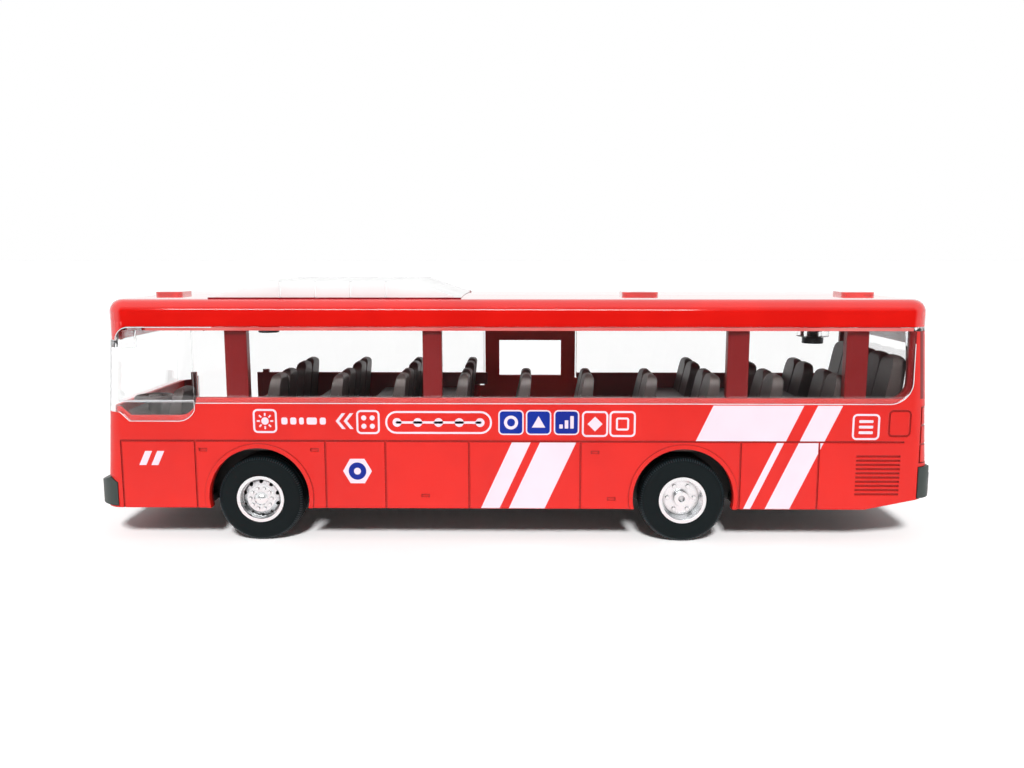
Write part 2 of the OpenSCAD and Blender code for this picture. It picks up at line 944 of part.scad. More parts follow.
module roof() color(roof_red)
    difference() {
        union() {
            difference() {
                roof_form();
                translate([0, 0, roof_z - over])
                    linear_extrude(roof_inside_z - roof_z + over)
                        slab(roof_l - 2 * roof_t, roof_w - 2 * roof_t, corner_r - roof_t);
            }
            header();
            for (h = hatches)
                hatch(h[0], h[1]);
            for (s = both)
                roof_rib(s);
            for (p = roof_screws_at)
                translate([p[0], 0, roof_z])
                    cylinder(r = boss_r, h = roof_inside_z + seam - roof_z);
        }
        for (p = roof_screws_at)
            translate([p[0], 0, roof_z - over])
                cylinder(r = shank_r + press_gap, h = roof_inside_z - roof_z + over - screw_tip);
    }

// The pod's closed form in side view
module pod_side() {
    run = over * pod_slope / pod_h;
    x0 = pod_front_x;
    x1 = pod_front_x + pod_l;
    translate([0, roof_edge_z])
        polygon([[x0 - run, -over], [x0 + pod_slope, pod_h], [x1 - pod_slope, pod_h], [x1 + run, -over]]);
}

module roof_pod() color(white_plastic)
    difference() {
        across(-pod_w / 2, pod_w / 2)
            pod_side();
        roof_form(seam / 2);
        for (i = [0 : pod_grooves - 1])
            translate([pod_groove_x + i * pod_groove_pitch - groove_w / 2, 0, roof_edge_z]) {
                translate([0, -pod_w, pod_h - groove_d])
                    cube([groove_w, 2 * pod_w, over]);
                for (s = both)
                    translate([0, s * pod_w / 2 - groove_d, -over])
                        cube([groove_w, 2 * groove_d, pod_h + 2 * over]);
            }
    }

module glazing() color(clear_plastic)
    difference() {
        union() {
            // side glass, windscreen and the clear panel of the front doorway
            intersection() {
                wall_ring(0, glass_t, 0, rim_top_z);
                union() {
                    window_cut(seam, roof_z);
                    across(0, half_w + over)
                        entry(seam);
                }
            }
            // top rim, all round
            wall_ring(0, rim_w, rim_low_z, rim_top_z);
            // lap behind the header
            intersection() {
                wall_ring(glass_t - seam, header_lap, header_z - rim_t - glass_t, rim_top_z);
                block([-half_l, -half_w, 0], [header_x + over, half_w, roof_z]);
            }
            // rear window, behind the rear wall
            on_end(1)
                block([half_l - wall - glass_gap, -rear_window_w / 2 - rear_pane_lap, waist_z],
                      [half_l - wall - seam, rear_window_w / 2 + rear_pane_lap, rim_top_z]);
            // bridges with the screw bosses
            for (p = roof_screws_at) {
                translate([p[0] - boss_r, -half_w + rim_w - over, rim_low_z])
                    cube([2 * boss_r, body_w - 2 * rim_w + 2 * over, rim_t]);
                translate([p[0], 0, roof_z - p[1]])
                    cylinder(r = boss_r, h = rim_top_z - roof_z + p[1]);
            }
        }
        // room for the header
        intersection() {
            translate([0, 0, header_z - over])
                linear_extrude(roof_z + 2 * over - header_z)
                    difference() {
                        slab(body_l + 2 * over, body_w + 2 * over, corner_r);
                        slab(roof_l - 2 * (header_t + seam), roof_w - 2 * (header_t + seam),
                             corner_r - header_t - seam);
                    }
            across(-half_w - over, half_w + over)
                header_side(seam);
        }
        // middle doorway
        across(half_w - glass_gap, half_w + over)
            translate([frame_front_x - door_gap, skirt_z])
                square([frame_rear_x - frame_front_x + 2 * door_gap, door_top_z + door_gap - skirt_z]);
        // lines of the driver's sliding pane
        block([dip_front_x, -half_w - over, pane_line_z],
              [pane_line_x, -half_w + pane_line_d, pane_line_z + pane_line_w]);
        block([pane_line_x, -half_w - over, dip_z],
              [pane_line_x + pane_line_w, -half_w + pane_line_d, rim_low_z]);
        for (p = roof_screws_at)
            translate([p[0], 0, roof_z - p[1] - over])
                cylinder(r = shank_r + press_gap, h = p[1] + 2 * over);
    }

// A seat back in side view: it leans back, flares at its foot and has a rounded top
module back_side(h, t) {
    r = t / 2;
    top_z = h - r;
    top_x = seat_lean * h;
    polygon([[-seat_flare, 0], [t, 0], [top_x + t, top_z], [top_x, top_z]]);
    translate([top_x + r, top_z])
        circle(r);
}

// A seat back: its side view, cut by a front view with rounded upper corners
module seat_back(h, t, w) {
    r = seat_round;
    reach = 2 * (t + h * seat_lean);
    intersection() {
        across(-w / 2, w / 2)
            back_side(h, t);
        rotate([90, 0, 90])
            translate([0, 0, -reach])
                linear_extrude(3 * reach) {
                    translate([-w / 2, -over])
                        square([w, h + over - r]);
                    translate([-w / 2 + r, -over])
                        square([w - 2 * r, h + over]);
                    for (s = both)
                        translate([s * (w / 2 - r), h - r])
                            circle(r);
                }
    }
}

// Two seats side by side on one foot, facing the front; Z = 0 is the floor
module double_seat() {
    pair_w = 2 * seat_w + seat_gap;
    back_z = cushion_z - cushion_t;
    for (s = both)
        translate([0, s * (seat_w + seat_gap) / 2, back_z])
            seat_back(seat_top_z - floor_z - back_z, seat_t, seat_w);
    translate([seat_t - cushion_l, -pair_w / 2, back_z])
        cube([cushion_l, pair_w, cushion_t]);
    translate([-foot_l, -pair_w / 4, -seam])
        cube([foot_l, pair_w / 2, back_z + 2 * seam]);
}

// The bench across the rear, raised over the engine
module rear_bench() {
    for (i = [0 : bench_n - 1])
        translate([bench_x, (i - (bench_n - 1) / 2) * bench_pitch, bench_base])
            seat_back(bench_top_z - floor_z - bench_base, bench_t, bench_pitch - bench_gap);
    translate([bench_front_x, -seat_side_y, -seam])
        cube([bench_l, 2 * seat_side_y, bench_base + 2 * seam]);
}

// The driver's seat, the dash and the column that carries the steering wheel
module driver_place() {
    dash_x = -half_l + wall + floor_gap;
    translate([driver_x, driver_y, floor_z + driver_base])
        seat_back(driver_top_z - floor_z - driver_base, seat_t, driver_w);
    translate([driver_x - seat_flare, driver_y - driver_w / 2, floor_z - seam])
        cube([seat_flare + seat_t, driver_w, driver_base + 2 * seam]);
    intersection() {
        across(-half_w, dash_end_y) {
            translate([dash_x, floor_z - seam])
                square([dash_l, dash_low_z - floor_z + seam]);
            translate([dash_x, dash_low_z - seam])
                square([dash_l - dash_r, dash_r + seam]);
            translate([dash_x + dash_l - dash_r, dash_low_z])
                circle(dash_r);
        }
        form(wall + floor_gap, floor_low_z, waist_z);
    }
    translate([column_x, driver_y, floor_z - seam])
        cylinder(r = column_r, h = column_top_z - floor_z + seam);
}

module seat_tray() color(tray_grey)
    difference() {
        union() {
            translate([0, 0, floor_low_z])
                linear_extrude(floor_t)
                    plan(wall + floor_gap);
            translate([0, 0, floor_z]) {
                for (i = [0 : seat_rows - 1]) {
                    x = first_row_x + i * row_pitch;
                    translate([x, -seat_y, 0])
                        double_seat();
                    if (x < hinge_x || x > bay_rear_x)
                        translate([x, seat_y, 0])
                            double_seat();
                }
                rear_bench();
            }
            driver_place();
        }
        translate([column_x, driver_y, column_top_z - stub_l - seam])
            cylinder(r = stub_r, h = stub_l + over);
    }

module steering_wheel() color(tray_grey)
    translate([column_x, driver_y, column_top_z]) {
        translate([0, 0, wheel_lift]) {
            rotate_extrude()
                translate([wheel_r, 0])
                    circle(wheel_tube_r, $fn = 24);
            for (a = [90, 210, 330])
                rotate([0, 0, a])
                    translate([0, -wheel_tube_r, -wheel_tube_r / 2])
                        cube([wheel_r, 2 * wheel_tube_r, wheel_tube_r]);
        }
        translate([0, 0, seam])
            cylinder(r = wheel_hub_r, h = wheel_lift + wheel_tube_r - seam);
        translate([0, 0, -stub_l])
            cylinder(r = stub_r - press_gap, h = stub_l + wheel_lift);
    }

module chassis() color(chassis_black) {
    plate_inset = wall + chassis_gap;
    well_y = wheel_y - tyre_w - well_gap;
    well_l = 2 * (arch_r + well_gap);
    difference() {
        union() {
            translate([0, 0, chassis_low_z])
                linear_extrude(chassis_t)
                    difference() {
                        plan(plate_inset);
                        for (x = axle_xs, s = both)
                            translate([x, s * (well_y + half_w / 2)])
                                square([well_l, half_w], center = true);
                    }
            // bearing blocks
            for (x = axle_xs, s = both)
                translate([x, s * bearing_y, 0])
                    block([-bearing_l / 2, -bearing_w / 2, chassis_low_z],
                          [bearing_l / 2, bearing_w / 2, axle_z + bearing_top]);
            // cups for the screws
            for (x = post_xs, s = both)
                translate([x, s * post_y, chassis_low_z])
                    cylinder(r = cup_r, h = cup_top_z - chassis_low_z);
            // rails along the plate
            for (s = both)
                block([-half_l + rail_end, s * rail_y - rail_w / 2, chassis_top_z - seam],
                      [kick_x, s * rail_y + rail_w / 2, chassis_top_z + rail_h]);
        }
        for (x = axle_xs)
            translate([x, 0, axle_z])
                rotate([90, 0, 0])
                    cylinder(r = axle_d / 2 + axle_play, h = body_w, center = true);
        for (x = post_xs, s = both)
            translate([x, s * post_y, chassis_low_z - over]) {
                cylinder(r = shank_r + press_gap, h = cup_top_z - chassis_low_z + 2 * over);
                cylinder(r = head_r + seam, h = screw_seat_z - chassis_low_z + over);
            }
        kick_cut();
    }
}

module front_bumper() color(dark_grey)
    bumper(front_proud)
        front_bumper_side(0);

module rear_bumper() color(dark_grey)
    bumper(rear_proud)
        rear_bumper_side(0);

module middle_door() color(red_plastic)
    difference() {
        union() {
            // leaf: the lower panel, its strip beside the hinge, and the window frame
            across(half_w - door_t, half_w) {
                translate([hinge_x + lug_reach + door_gap, threshold_z + door_gap])
                    square([door_w - lug_reach - door_gap, panel_top_z - threshold_z - door_gap]);
                translate([hinge_x, threshold_z + door_gap])
                    square([lug_reach + over, barrel_top_z - 2 * door_gap - threshold_z]);
                translate([frame_front_x, panel_top_z - over])
                    square([frame_rear_x - frame_front_x, door_top_z - panel_top_z + over]);
            }
            translate([hinge_x, hinge_y, barrel_low_z])
                cylinder(r = barrel_r, h = barrel_top_z - seam - barrel_low_z);
            translate([hinge_x, hinge_y, threshold_z - peg_l])
                cylinder(r = peg_r, h = barrel_top_z + 2 * peg_l - threshold_z);
        }
        // window
        across(half_w - door_t - over, half_w + over)
            translate([frame_front_x + frame_bar, waist_z + window_sill])
                square([frame_rear_x - frame_front_x - 2 * frame_bar,
                        door_top_z - window_head - waist_z - window_sill]);
        // line between the door's two halves
        side_groove(1, frame_mid_x - groove_w / 2, frame_mid_x + groove_w / 2,
                    threshold_z + 4 * door_gap, waist_z - 4 * door_gap);
    }

// A wheel's own frame: +Z outwards, the tyre's outer face at Z = 0
module on_axle(x, side) {
    translate([x, side * wheel_y, axle_z])
        rotate([-90 * side, 0, 0])
            children();
}

// A tyre's section: round shoulders, rounded beads and two tread grooves
module tyre_section() {
    r = tyre_d / 2;
    bore = rim_d / 2 + press_gap;
    difference() {
        union() {
            translate([bore, -tyre_w + bead_r])
                square([r - shoulder_r - bore, tyre_w - 2 * bead_r]);
            translate([bore + bead_r, -tyre_w])
                square([r - shoulder_r - bore - bead_r, tyre_w]);
            translate([bore, -tyre_w + shoulder_r])
                square([r - bore, tyre_w - 2 * shoulder_r]);
            for (z = [-tyre_w + shoulder_r, -shoulder_r])
                translate([r - shoulder_r, z])
                    circle(shoulder_r);
            for (z = [-tyre_w + bead_r, -bead_r])
                translate([bore + bead_r, z])
                    circle(bead_r);
        }
        for (s = both)
            translate([r - tread_groove[0], -tyre_w / 2 + s * tyre_w / 8 - tread_groove[1] / 2])
                square([over, tread_groove[1]]);
    }
}

module tyre(x, side) color(tyre_black)
    on_axle(x, side)
        rotate_extrude()
            tyre_section();

// What both kinds of rim share: the barrel under the tyre and the hub on the axle
module rim_barrel(hub_top) {
    low = -tyre_w + barrel_back;
    difference() {
        translate([0, 0, low])
            cylinder(r = rim_d / 2, h = -low);
        translate([0, 0, low - over])
            cylinder(r = rim_d / 2 - barrel_wall, h = -low + 2 * over);
    }
    translate([0, 0, low])
        cylinder(r = hub_r, h = hub_top - low);
}

module axle_bore(end) {
    translate([0, 0, -tyre_w - over])
        cylinder(r = axle_d / 2 + press_gap, h = tyre_w + over - end);
}

// Front rim: a bulging disc with a ring of holes, a ring of nuts and a domed cap
module front_rim(x, side) {
    r = rim_d / 2;
    low = front_disc_z - front_disc_t;
    edge_z = front_disc_z - front_drop;
    step = 360 / front_n;
    color(plated)
        on_axle(x, side)
            difference() {
                union() {
                    rim_barrel(low + seam);
                    rotate_extrude()
                        polygon([
                            [0, low], [r - seam, low], [r - seam, edge_z], [r - front_drop, edge_z],
                            [front_nut_ring + nut_shelf, front_disc_z], [0, front_disc_z]
                        ]);
                    rotate_extrude()
                        intersection() {
                            translate([0, front_disc_z + cap_h - cap_sphere_r])
                                circle(cap_sphere_r);
                            translate([0, front_disc_z - seam])
                                square([cap_r, over]);
                        }
                    for (i = [0 : front_n - 1])
                        rotate([0, 0, i * step])
                            translate([front_nut_ring, 0, front_disc_z - seam])
                                cylinder(r = front_nut_r, h = front_nut_h + seam);
                }
                for (i = [0 : front_n - 1])
                    rotate([0, 0, (i + 0.5) * step])
                        translate([front_hole_ring, 0, low - over])
                            cylinder(r = front_hole_r, h = front_disc_t + 3 * over);
                axle_bore(front_bore_end);
            }
}

// Rear rim: a deep dish with a hub and studs
module rear_rim(x, side) {
    r = rim_d / 2;
    step = 360 / rear_n;
    color(plated)
        on_axle(x, side)
            difference() {
                union() {
                    rim_barrel(-dish - seam);
                    rotate_extrude()
                        polygon([
                            [0, -dish - dish_t], [r - seam, -dish - dish_t], [r - seam, -groove_w],
                            [r - barrel_wall, -groove_w], [dish_floor_r, -dish], [0, -dish]
                        ]);
                    translate([0, 0, -dish - seam])
                        cylinder(r = rear_hub_r, h = rear_hub_h + seam);
                    for (i = [0 : rear_n - 1])
                        rotate([0, 0, i * step])
                            translate([rear_stud_ring, 0, -dish - seam])
                                cylinder(r = rear_stud_r, h = rear_stud_h + seam);
                }
                translate([0, 0, -dish + rear_hub_h / 2])
                    cylinder(r = rear_dimple_r, h = rear_hub_h);
                axle_bore(dish);
            }
}

// An axle that ends just short of the bottom of the rims' bores
module axle(x, bore_end) color(steel)
    translate([x, 0, axle_z])
        rotate([90, 0, 0])
            cylinder(r = axle_d / 2, h = 2 * (wheel_y - bore_end - axle_end_gap), center = true);

// A pan-head screw with a cross slot: its head is below Z = 0 and its shank points up
module screw(l) {
    slot = [head_r * 1.1, 0.6, head_h * 1.2];
    difference() {
        union() {
            translate([0, 0, -head_h])
                cylinder(r = head_r, h = head_h);
            translate([0, 0, -seam])
                cylinder(r = shank_r, h = l + seam);
        }
        for (a = [0, 90])
            translate([0, 0, -head_h])
                rotate([0, 0, a])
                    cube(slot, center = true);
    }
}

module chassis_screws() color(steel)
    for (x = post_xs, s = both)
        translate([x, s * post_y, screw_seat_z])
            screw(cup_top_z - screw_seat_z + screw_bite - screw_tip);

module roof_screws() color(steel)
    for (p = roof_screws_at)
        translate([p[0], 0, roof_z - p[1]])
            screw(roof_inside_z - roof_z + p[1] - 2 * screw_tip);

body_shell();
roof();
roof_pod();
glazing();
seat_tray();
steering_wheel();
chassis();
front_bumper();
rear_bumper();
middle_door();
axle(front_axle_x, front_bore_end);  // front_axle
axle(rear_axle_x, dish);  // rear_axle
tyre(front_axle_x, -1);  // tyre_front_left
tyre(front_axle_x, 1);  // tyre_front_right
tyre(rear_axle_x, -1);  // tyre_rear_left
tyre(rear_axle_x, 1);  // tyre_rear_right
front_rim(front_axle_x, -1);  // rim_front_left
front_rim(front_axle_x, 1);  // rim_front_right
rear_rim(rear_axle_x, -1);  // rim_rear_left
rear_rim(rear_axle_x, 1);  // rim_rear_right
chassis_screws();
roof_screws();
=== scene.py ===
# Toy city bus: the finishes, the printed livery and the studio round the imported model.
import json
from math import cos, pi, radians, sin

import bmesh
import bpy
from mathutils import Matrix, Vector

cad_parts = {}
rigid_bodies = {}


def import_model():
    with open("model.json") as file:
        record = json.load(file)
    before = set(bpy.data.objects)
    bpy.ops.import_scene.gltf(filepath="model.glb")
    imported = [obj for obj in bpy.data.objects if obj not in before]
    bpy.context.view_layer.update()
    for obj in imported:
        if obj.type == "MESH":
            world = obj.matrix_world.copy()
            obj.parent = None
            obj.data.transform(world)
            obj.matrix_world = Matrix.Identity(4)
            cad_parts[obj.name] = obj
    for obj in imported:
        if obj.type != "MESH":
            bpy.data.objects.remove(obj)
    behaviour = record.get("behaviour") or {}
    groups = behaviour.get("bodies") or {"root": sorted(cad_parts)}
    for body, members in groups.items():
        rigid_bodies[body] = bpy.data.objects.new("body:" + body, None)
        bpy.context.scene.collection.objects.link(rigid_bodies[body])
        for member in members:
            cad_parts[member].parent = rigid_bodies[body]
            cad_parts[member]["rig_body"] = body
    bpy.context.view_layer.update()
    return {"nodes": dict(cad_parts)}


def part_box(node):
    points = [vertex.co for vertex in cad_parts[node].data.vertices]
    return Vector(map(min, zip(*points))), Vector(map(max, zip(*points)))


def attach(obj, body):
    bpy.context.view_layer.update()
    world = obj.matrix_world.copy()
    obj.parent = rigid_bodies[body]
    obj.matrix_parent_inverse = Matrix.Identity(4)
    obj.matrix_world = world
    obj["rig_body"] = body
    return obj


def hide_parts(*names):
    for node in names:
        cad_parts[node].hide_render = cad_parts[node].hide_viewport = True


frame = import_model()
scene = bpy.context.scene
scene.view_settings.view_transform = "Standard"

# The bus is measured in millimetres, and the studio in metres
MM = 0.001
LEFT, RIGHT = -1, 1


# Small helpers

def linear(code):
    """An sRGB hex colour as linear RGBA."""
    parts = [int(code[i:i + 2], 16) / 255 for i in (1, 3, 5)]
    return [c / 12.92 if c <= 0.04045 else ((c + 0.055) / 1.055) ** 2.4 for c in parts] + [1.0]


def add(tree, kind, inputs=None, **settings):
    """Adds a node with its settings; an input takes a value or a link from another node's output."""
    node = tree.nodes.new(kind)
    for name, value in settings.items():
        setattr(node, name, value)
    for name, value in (inputs or {}).items():
        if isinstance(value, bpy.types.NodeSocket):
            tree.links.new(value, node.inputs[name])
        else:
            node.inputs[name].default_value = value
    return node


def new_material(name):
    """An empty material's tree, with the object's own coordinates to hang patterns on."""
    material = bpy.data.materials.new(name)
    material.use_nodes = True
    tree = material.node_tree
    tree.nodes.clear()
    return material, tree, add(tree, "ShaderNodeTexCoord").outputs["Object"]


def per_mm(size):
    """The scale of a pattern whose features are this many millimetres wide."""
    return 1 / (size * MM)


def drawn(name, bm):
    """What was built in a bmesh, as an object of the scene."""
    mesh = bpy.data.meshes.new(name)
    bm.to_mesh(mesh)
    bm.free()
    piece = bpy.data.objects.new(name, mesh)
    scene.collection.objects.link(piece)
    return piece


def apply_modifiers(piece):
    """Makes the modifiers of a piece part of its mesh."""
    before = piece.data
    name = before.name
    shaped = piece.evaluated_get(bpy.context.evaluated_depsgraph_get())
    result = bpy.data.meshes.new_from_object(shaped)
    piece.modifiers.clear()
    piece.data = result
    bpy.data.meshes.remove(before)
    result.name = name


def grow(piece, tree, sizes):
    """Turns a piece into the plain mesh that a Geometry Nodes tree makes of it with these sizes."""
    modifier = piece.modifiers.new(tree.name, "NODES")
    modifier.node_group = tree
    for item in tree.interface.items_tree:
        if item.name in sizes:
            modifier[item.identifier] = sizes[item.name]
    apply_modifiers(piece)


def dress(piece, material, body):
    """Gives a piece its finish and the body that it rides on."""
    piece.data.materials.clear()
    piece.data.materials.append(material)
    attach(piece, body)


# Materials

# The melt's flow shows as slow clouds: their width, and the noise levels that tint and gloss change between
FLOW_MM = 14
FLOW_TINT = (0.35, 0.65)
FLOW_GLOSS = (0.3, 0.7)
# Typical of the moulded plastics and the inks
PLASTIC_IOR = 1.53
COAT_ROUGHNESS = 0.04
# The share of open sky at which the painted shade in a groove is darkest, and the share at which it ends
GROOVE_SKY = (0.45, 0.9)
# What the darkest painted groove shade keeps of its colour
GROOVE_SHADE_KEPT = 0.42


def painted_groove_shade(tree, colour, width):
    """The colour with painted shade: darkened in corners and grooves of about this width in millimetres,
    where little open sky reaches, if there is a width.
    """
    if not width:
        return colour
    sky = add(tree, "ShaderNodeAmbientOcclusion", {"Distance": width * MM}, only_local=True, samples=8)
    share = add(tree, "ShaderNodeMapRange", {
        "Value": sky.outputs["AO"], "From Min": GROOVE_SKY[0], "From Max": GROOVE_SKY[1],
        "To Min": GROOVE_SHADE_KEPT})
    darker = add(tree, "ShaderNodeVectorMath", {0: colour, "Scale": share.outputs[0]}, operation="SCALE")
    return darker.outputs[0]


def moulded(name, dark, light, gloss, grain, depth,
            specular=0.5, spread=0.05, edge=0.0, coat=0.0, groove=0.0):
    """Injection-moulded plastic: flow clouds in tint and gloss over the mould's grain, which is drawn
    coarse enough to show. An edge width lets light catch the tiny rounding that a mould leaves on each
    corner, and a groove width paints shade into the narrow grooves and corners."""
    material, tree, place = new_material(name)
    flow = add(tree, "ShaderNodeTexNoise", {"Vector": place, "Scale": per_mm(FLOW_MM), "Detail": 2.0})
    tint = add(tree, "ShaderNodeValToRGB", {"Fac": flow.outputs["Fac"]})
    for element, code, at in zip(tint.color_ramp.elements, (dark, light), FLOW_TINT):
        element.color = linear(code)
        element.position = at
    rough = add(tree, "ShaderNodeMapRange", {
        "Value": flow.outputs["Fac"], "From Min": FLOW_GLOSS[0], "From Max": FLOW_GLOSS[1],
        "To Min": gloss - spread, "To Max": gloss + spread})
    skin = add(tree, "ShaderNodeTexNoise", {"Vector": place, "Scale": per_mm(grain), "Detail": 3.0})
    bump = add(tree, "ShaderNodeBump", {"Height": skin.outputs["Fac"], "Distance": depth * MM})
    if edge:
        rounding = add(tree, "ShaderNodeBevel", {"Radius": edge * MM}, samples=4)
        tree.links.new(rounding.outputs["Normal"], bump.inputs["Normal"])
    shader = add(tree, "ShaderNodeBsdfPrincipled", {
        "Base Color": painted_groove_shade(tree, tint.outputs["Color"], groove), "Roughness": rough.outputs["Result"],
        "Specular IOR Level": specular, "IOR": PLASTIC_IOR, "Normal": bump.outputs["Normal"],
        "Coat Weight": coat, "Coat Roughness": COAT_ROUGHNESS})
    add(tree, "ShaderNodeOutputMaterial", {"Surface": shader.outputs["BSDF"]})
    return material


# The body's ends stand back by this much for each millimetre above a height
END_LEAN, LEAN_FROM = 0.0664, 19.0
# The top of the lip under the windows, and the depth of the rebate that it lies in
LIP_TOP, REBATE = 31.42, 0.9
# The painted inside shade fades out over this width
SHADE_EDGE = 0.1
# Sockets of a node that mixes two colours
MIX_FIRST, MIX_SECOND, MIX_RESULT = 6, 7, 2


def painted_inside_shade(material, dull, side, end):
    """The outside and the lip under the windows keep the full colour; inside, behind the windows, the red is
    painted darker as shade. Side and end are where the full-coloured faces start, from the middle of the bus."""
    tree = material.node_tree
    shader = next(n for n in tree.nodes if n.type == "BSDF_PRINCIPLED")
    place = next(n for n in tree.nodes if n.type == "TEX_COORD").outputs["Object"]
    at = add(tree, "ShaderNodeSeparateXYZ", {"Vector": place}).outputs
    across = add(tree, "ShaderNodeMath", {0: at["Y"]}, operation="ABSOLUTE")
    along = add(tree, "ShaderNodeMath", {0: at["X"]}, operation="ABSOLUTE")
    upright = add(tree, "ShaderNodeMath", {0: at["Z"], 1: END_LEAN, 2: along.outputs[0]},
                  operation="MULTIPLY_ADD")
    lip = add(tree, "ShaderNodeMath", {0: at["Z"], 1: LIP_TOP * MM}, operation="LESS_THAN")
    masks = []
    for way, limit in ((across, side), (upright, end + END_LEAN * LEAN_FROM)):
        reach = add(tree, "ShaderNodeMath", {0: lip.outputs[0], 1: REBATE * MM, 2: way.outputs[0]},
                    operation="MULTIPLY_ADD")
        mask = add(tree, "ShaderNodeMapRange", {
            "Value": reach.outputs[0],
            "From Min": (limit - SHADE_EDGE / 2) * MM, "From Max": (limit + SHADE_EDGE / 2) * MM})
        masks.append(mask.outputs[0])
    unshaded_faces = add(tree, "ShaderNodeMath", {0: masks[0], 1: masks[1]}, operation="MAXIMUM")
    tint = shader.inputs["Base Color"].links[0].from_socket
    mix = add(tree, "ShaderNodeMix", {
        "Factor": unshaded_faces.outputs[0], MIX_FIRST: linear(dull), MIX_SECOND: tint}, data_type="RGBA")
    tree.links.new(mix.outputs[MIX_RESULT], shader.inputs["Base Color"])


# Satin ABS from an eroded mould: an even deep red that never quite mirrors
# The groove width paints shade into the body's grooves and corners
body_red = moulded("satin_moulded_red_ABS", "#de1d15", "#e62219", gloss=0.36, grain=0.35, depth=0.004,
                   specular=0.45, edge=0.28, groove=0.5)
# Painted shade: the inside faces behind the windows get a darker red
painted_inside_shade(body_red, "#841113", side=21.55, end=87.3)
# The door has no painted inside shade: the same satin red all over
door_red = moulded("satin_sprayed_red_ABS", "#e01a12", "#e81f16", gloss=0.36, grain=0.35, depth=0.004,
                   specular=0.45, edge=0.14)
# The roof's mould was polished: the same red, deeper, with clean streaks of light along its edges
roof_red = moulded("polished_moulded_red_ABS", "#e0120b", "#ea160e", gloss=0.09, grain=1.6, depth=0.002,
                   specular=0.45, spread=0.02, edge=0.14, coat=1.0)
# Painted shadow: the roof's red as it looks in the shade under the pod's foot, dark, with no highlight
pod_foot_shadow_red = moulded("shaded_moulded_red_ABS", "#7e1620", "#8c1c26", gloss=0.4, grain=0.5, depth=0.002,
                   specular=0.2)
# Glossy white ABS, a little soft in its reflections
pod_white = moulded("glossy_moulded_white_ABS", "#f9f9f9", "#fdfdfd", gloss=0.22, grain=0.6, depth=0.003)
# Warm grey ABS in a plain mould: dull, with rounded soft highlights
tray_grey = moulded("dull_moulded_warm_grey_ABS", "#4d4442", "#574e4b", gloss=0.45, grain=0.4, depth=0.006,
                    specular=0.4, edge=0.25)
# Polypropylene takes a waxy bloom: dark grey with broad pale highlights
bumper_grey = moulded("waxy_moulded_grey_polypropylene", "#343c3a", "#3e4643", gloss=0.45, grain=0.4,
                      depth=0.006, specular=0.25)
# The underside and the wheel arches, grained black polypropylene: dark and even
chassis_black = moulded("grained_moulded_black_polypropylene", "#1c1f1e", "#252827", gloss=0.5, grain=0.5,
                        depth=0.012)
# Soft PVC: nearly black, blue-grey where light skims it, and never glossy
tyre_black = moulded("soft_moulded_black_PVC", "#081113", "#0e1719", gloss=0.6, grain=0.45, depth=0.01,
                     specular=0.16)
# The ribs are a little smoother and greyer than the walls
rib_black = moulded("greyer_moulded_black_PVC", "#1c2a2d", "#26353a", gloss=0.42, grain=0.45, depth=0.006,
                    specular=0.4)
# Pad-printed inks: a thin even film, smoother than the plastic below it
ink_white = moulded("pad_printed_white_ink", "#efe0ec", "#f4e6f1", gloss=0.32, grain=0.5, depth=0.003)
ink_blue = moulded("pad_printed_blue_ink", "#0a2590", "#0e2f9e", gloss=0.34, grain=0.5, depth=0.003,
                   specular=0.25)
# Painted highlight: the light that the cut and rounded edges of clear plastic catch, drawn as fine white
# lines
painted_edge_highlight = moulded("painted_white_edge_highlight", "#eef0f4", "#fafbfd", gloss=0.25, grain=0.5,
                     depth=0.002)
# Painted light: the clear shell's top rim drawn as a pale red line, as if lit through the roof's red
rim_glow = moulded("clear_rim_lit_by_red_ABS", "#e0625f", "#ea7c78", gloss=0.2, grain=0.5, depth=0.002)


def metal(name, dark, light, gloss, grain, depth, groove=0.0):
    """Bare or plated metal: clear reflections with a faint orange peel from the surface below.
    A groove width paints shade into narrow corners."""
    material, tree, place = new_material(name)
    peel = add(tree, "ShaderNodeTexNoise", {"Vector": place, "Scale": per_mm(grain), "Detail": 2.0})
    tint = add(tree, "ShaderNodeValToRGB", {"Fac": peel.outputs["Fac"]})
    for element, code in zip(tint.color_ramp.elements, (dark, light)):
        element.color = linear(code)
    bump = add(tree, "ShaderNodeBump", {"Height": peel.outputs["Fac"], "Distance": depth * MM})
    shader = add(tree, "ShaderNodeBsdfPrincipled", {
        "Base Color": painted_groove_shade(tree, tint.outputs["Color"], groove), "Metallic": 1.0, "Roughness": gloss,
        "Normal": bump.outputs["Normal"]})
    add(tree, "ShaderNodeOutputMaterial", {"Surface": shader.outputs["BSDF"]})
    return material


# Vacuum-plated ABS: a bright aluminium film that mirrors the room, softened by the moulding under it
# The groove width paints shade into the rims' narrow corners
rim_plating = metal("vacuum_plated_ABS", "#eef0f2", "#f6f7f8", gloss=0.27, grain=0.9, depth=0.002,
                    groove=0.85)
# Drawn axle steel, grey and smooth
axle_steel = metal("drawn_axle_steel", "#85888c", "#9a9da1", gloss=0.28, grain=0.5, depth=0.003)
# Screws blackened in oil: dark metal with dull highlights
screw_steel = metal("oil_blackened_steel", "#3a3c3e", "#4a4c4e", gloss=0.35, grain=0.4, depth=0.004)

# Slow ripples in the clear panes: their width and depth
RIPPLE_MM, RIPPLE_DEPTH = 16, 0.01
# After this many turns inside, light leaves the clear plastic
TRAPPED = 5.5


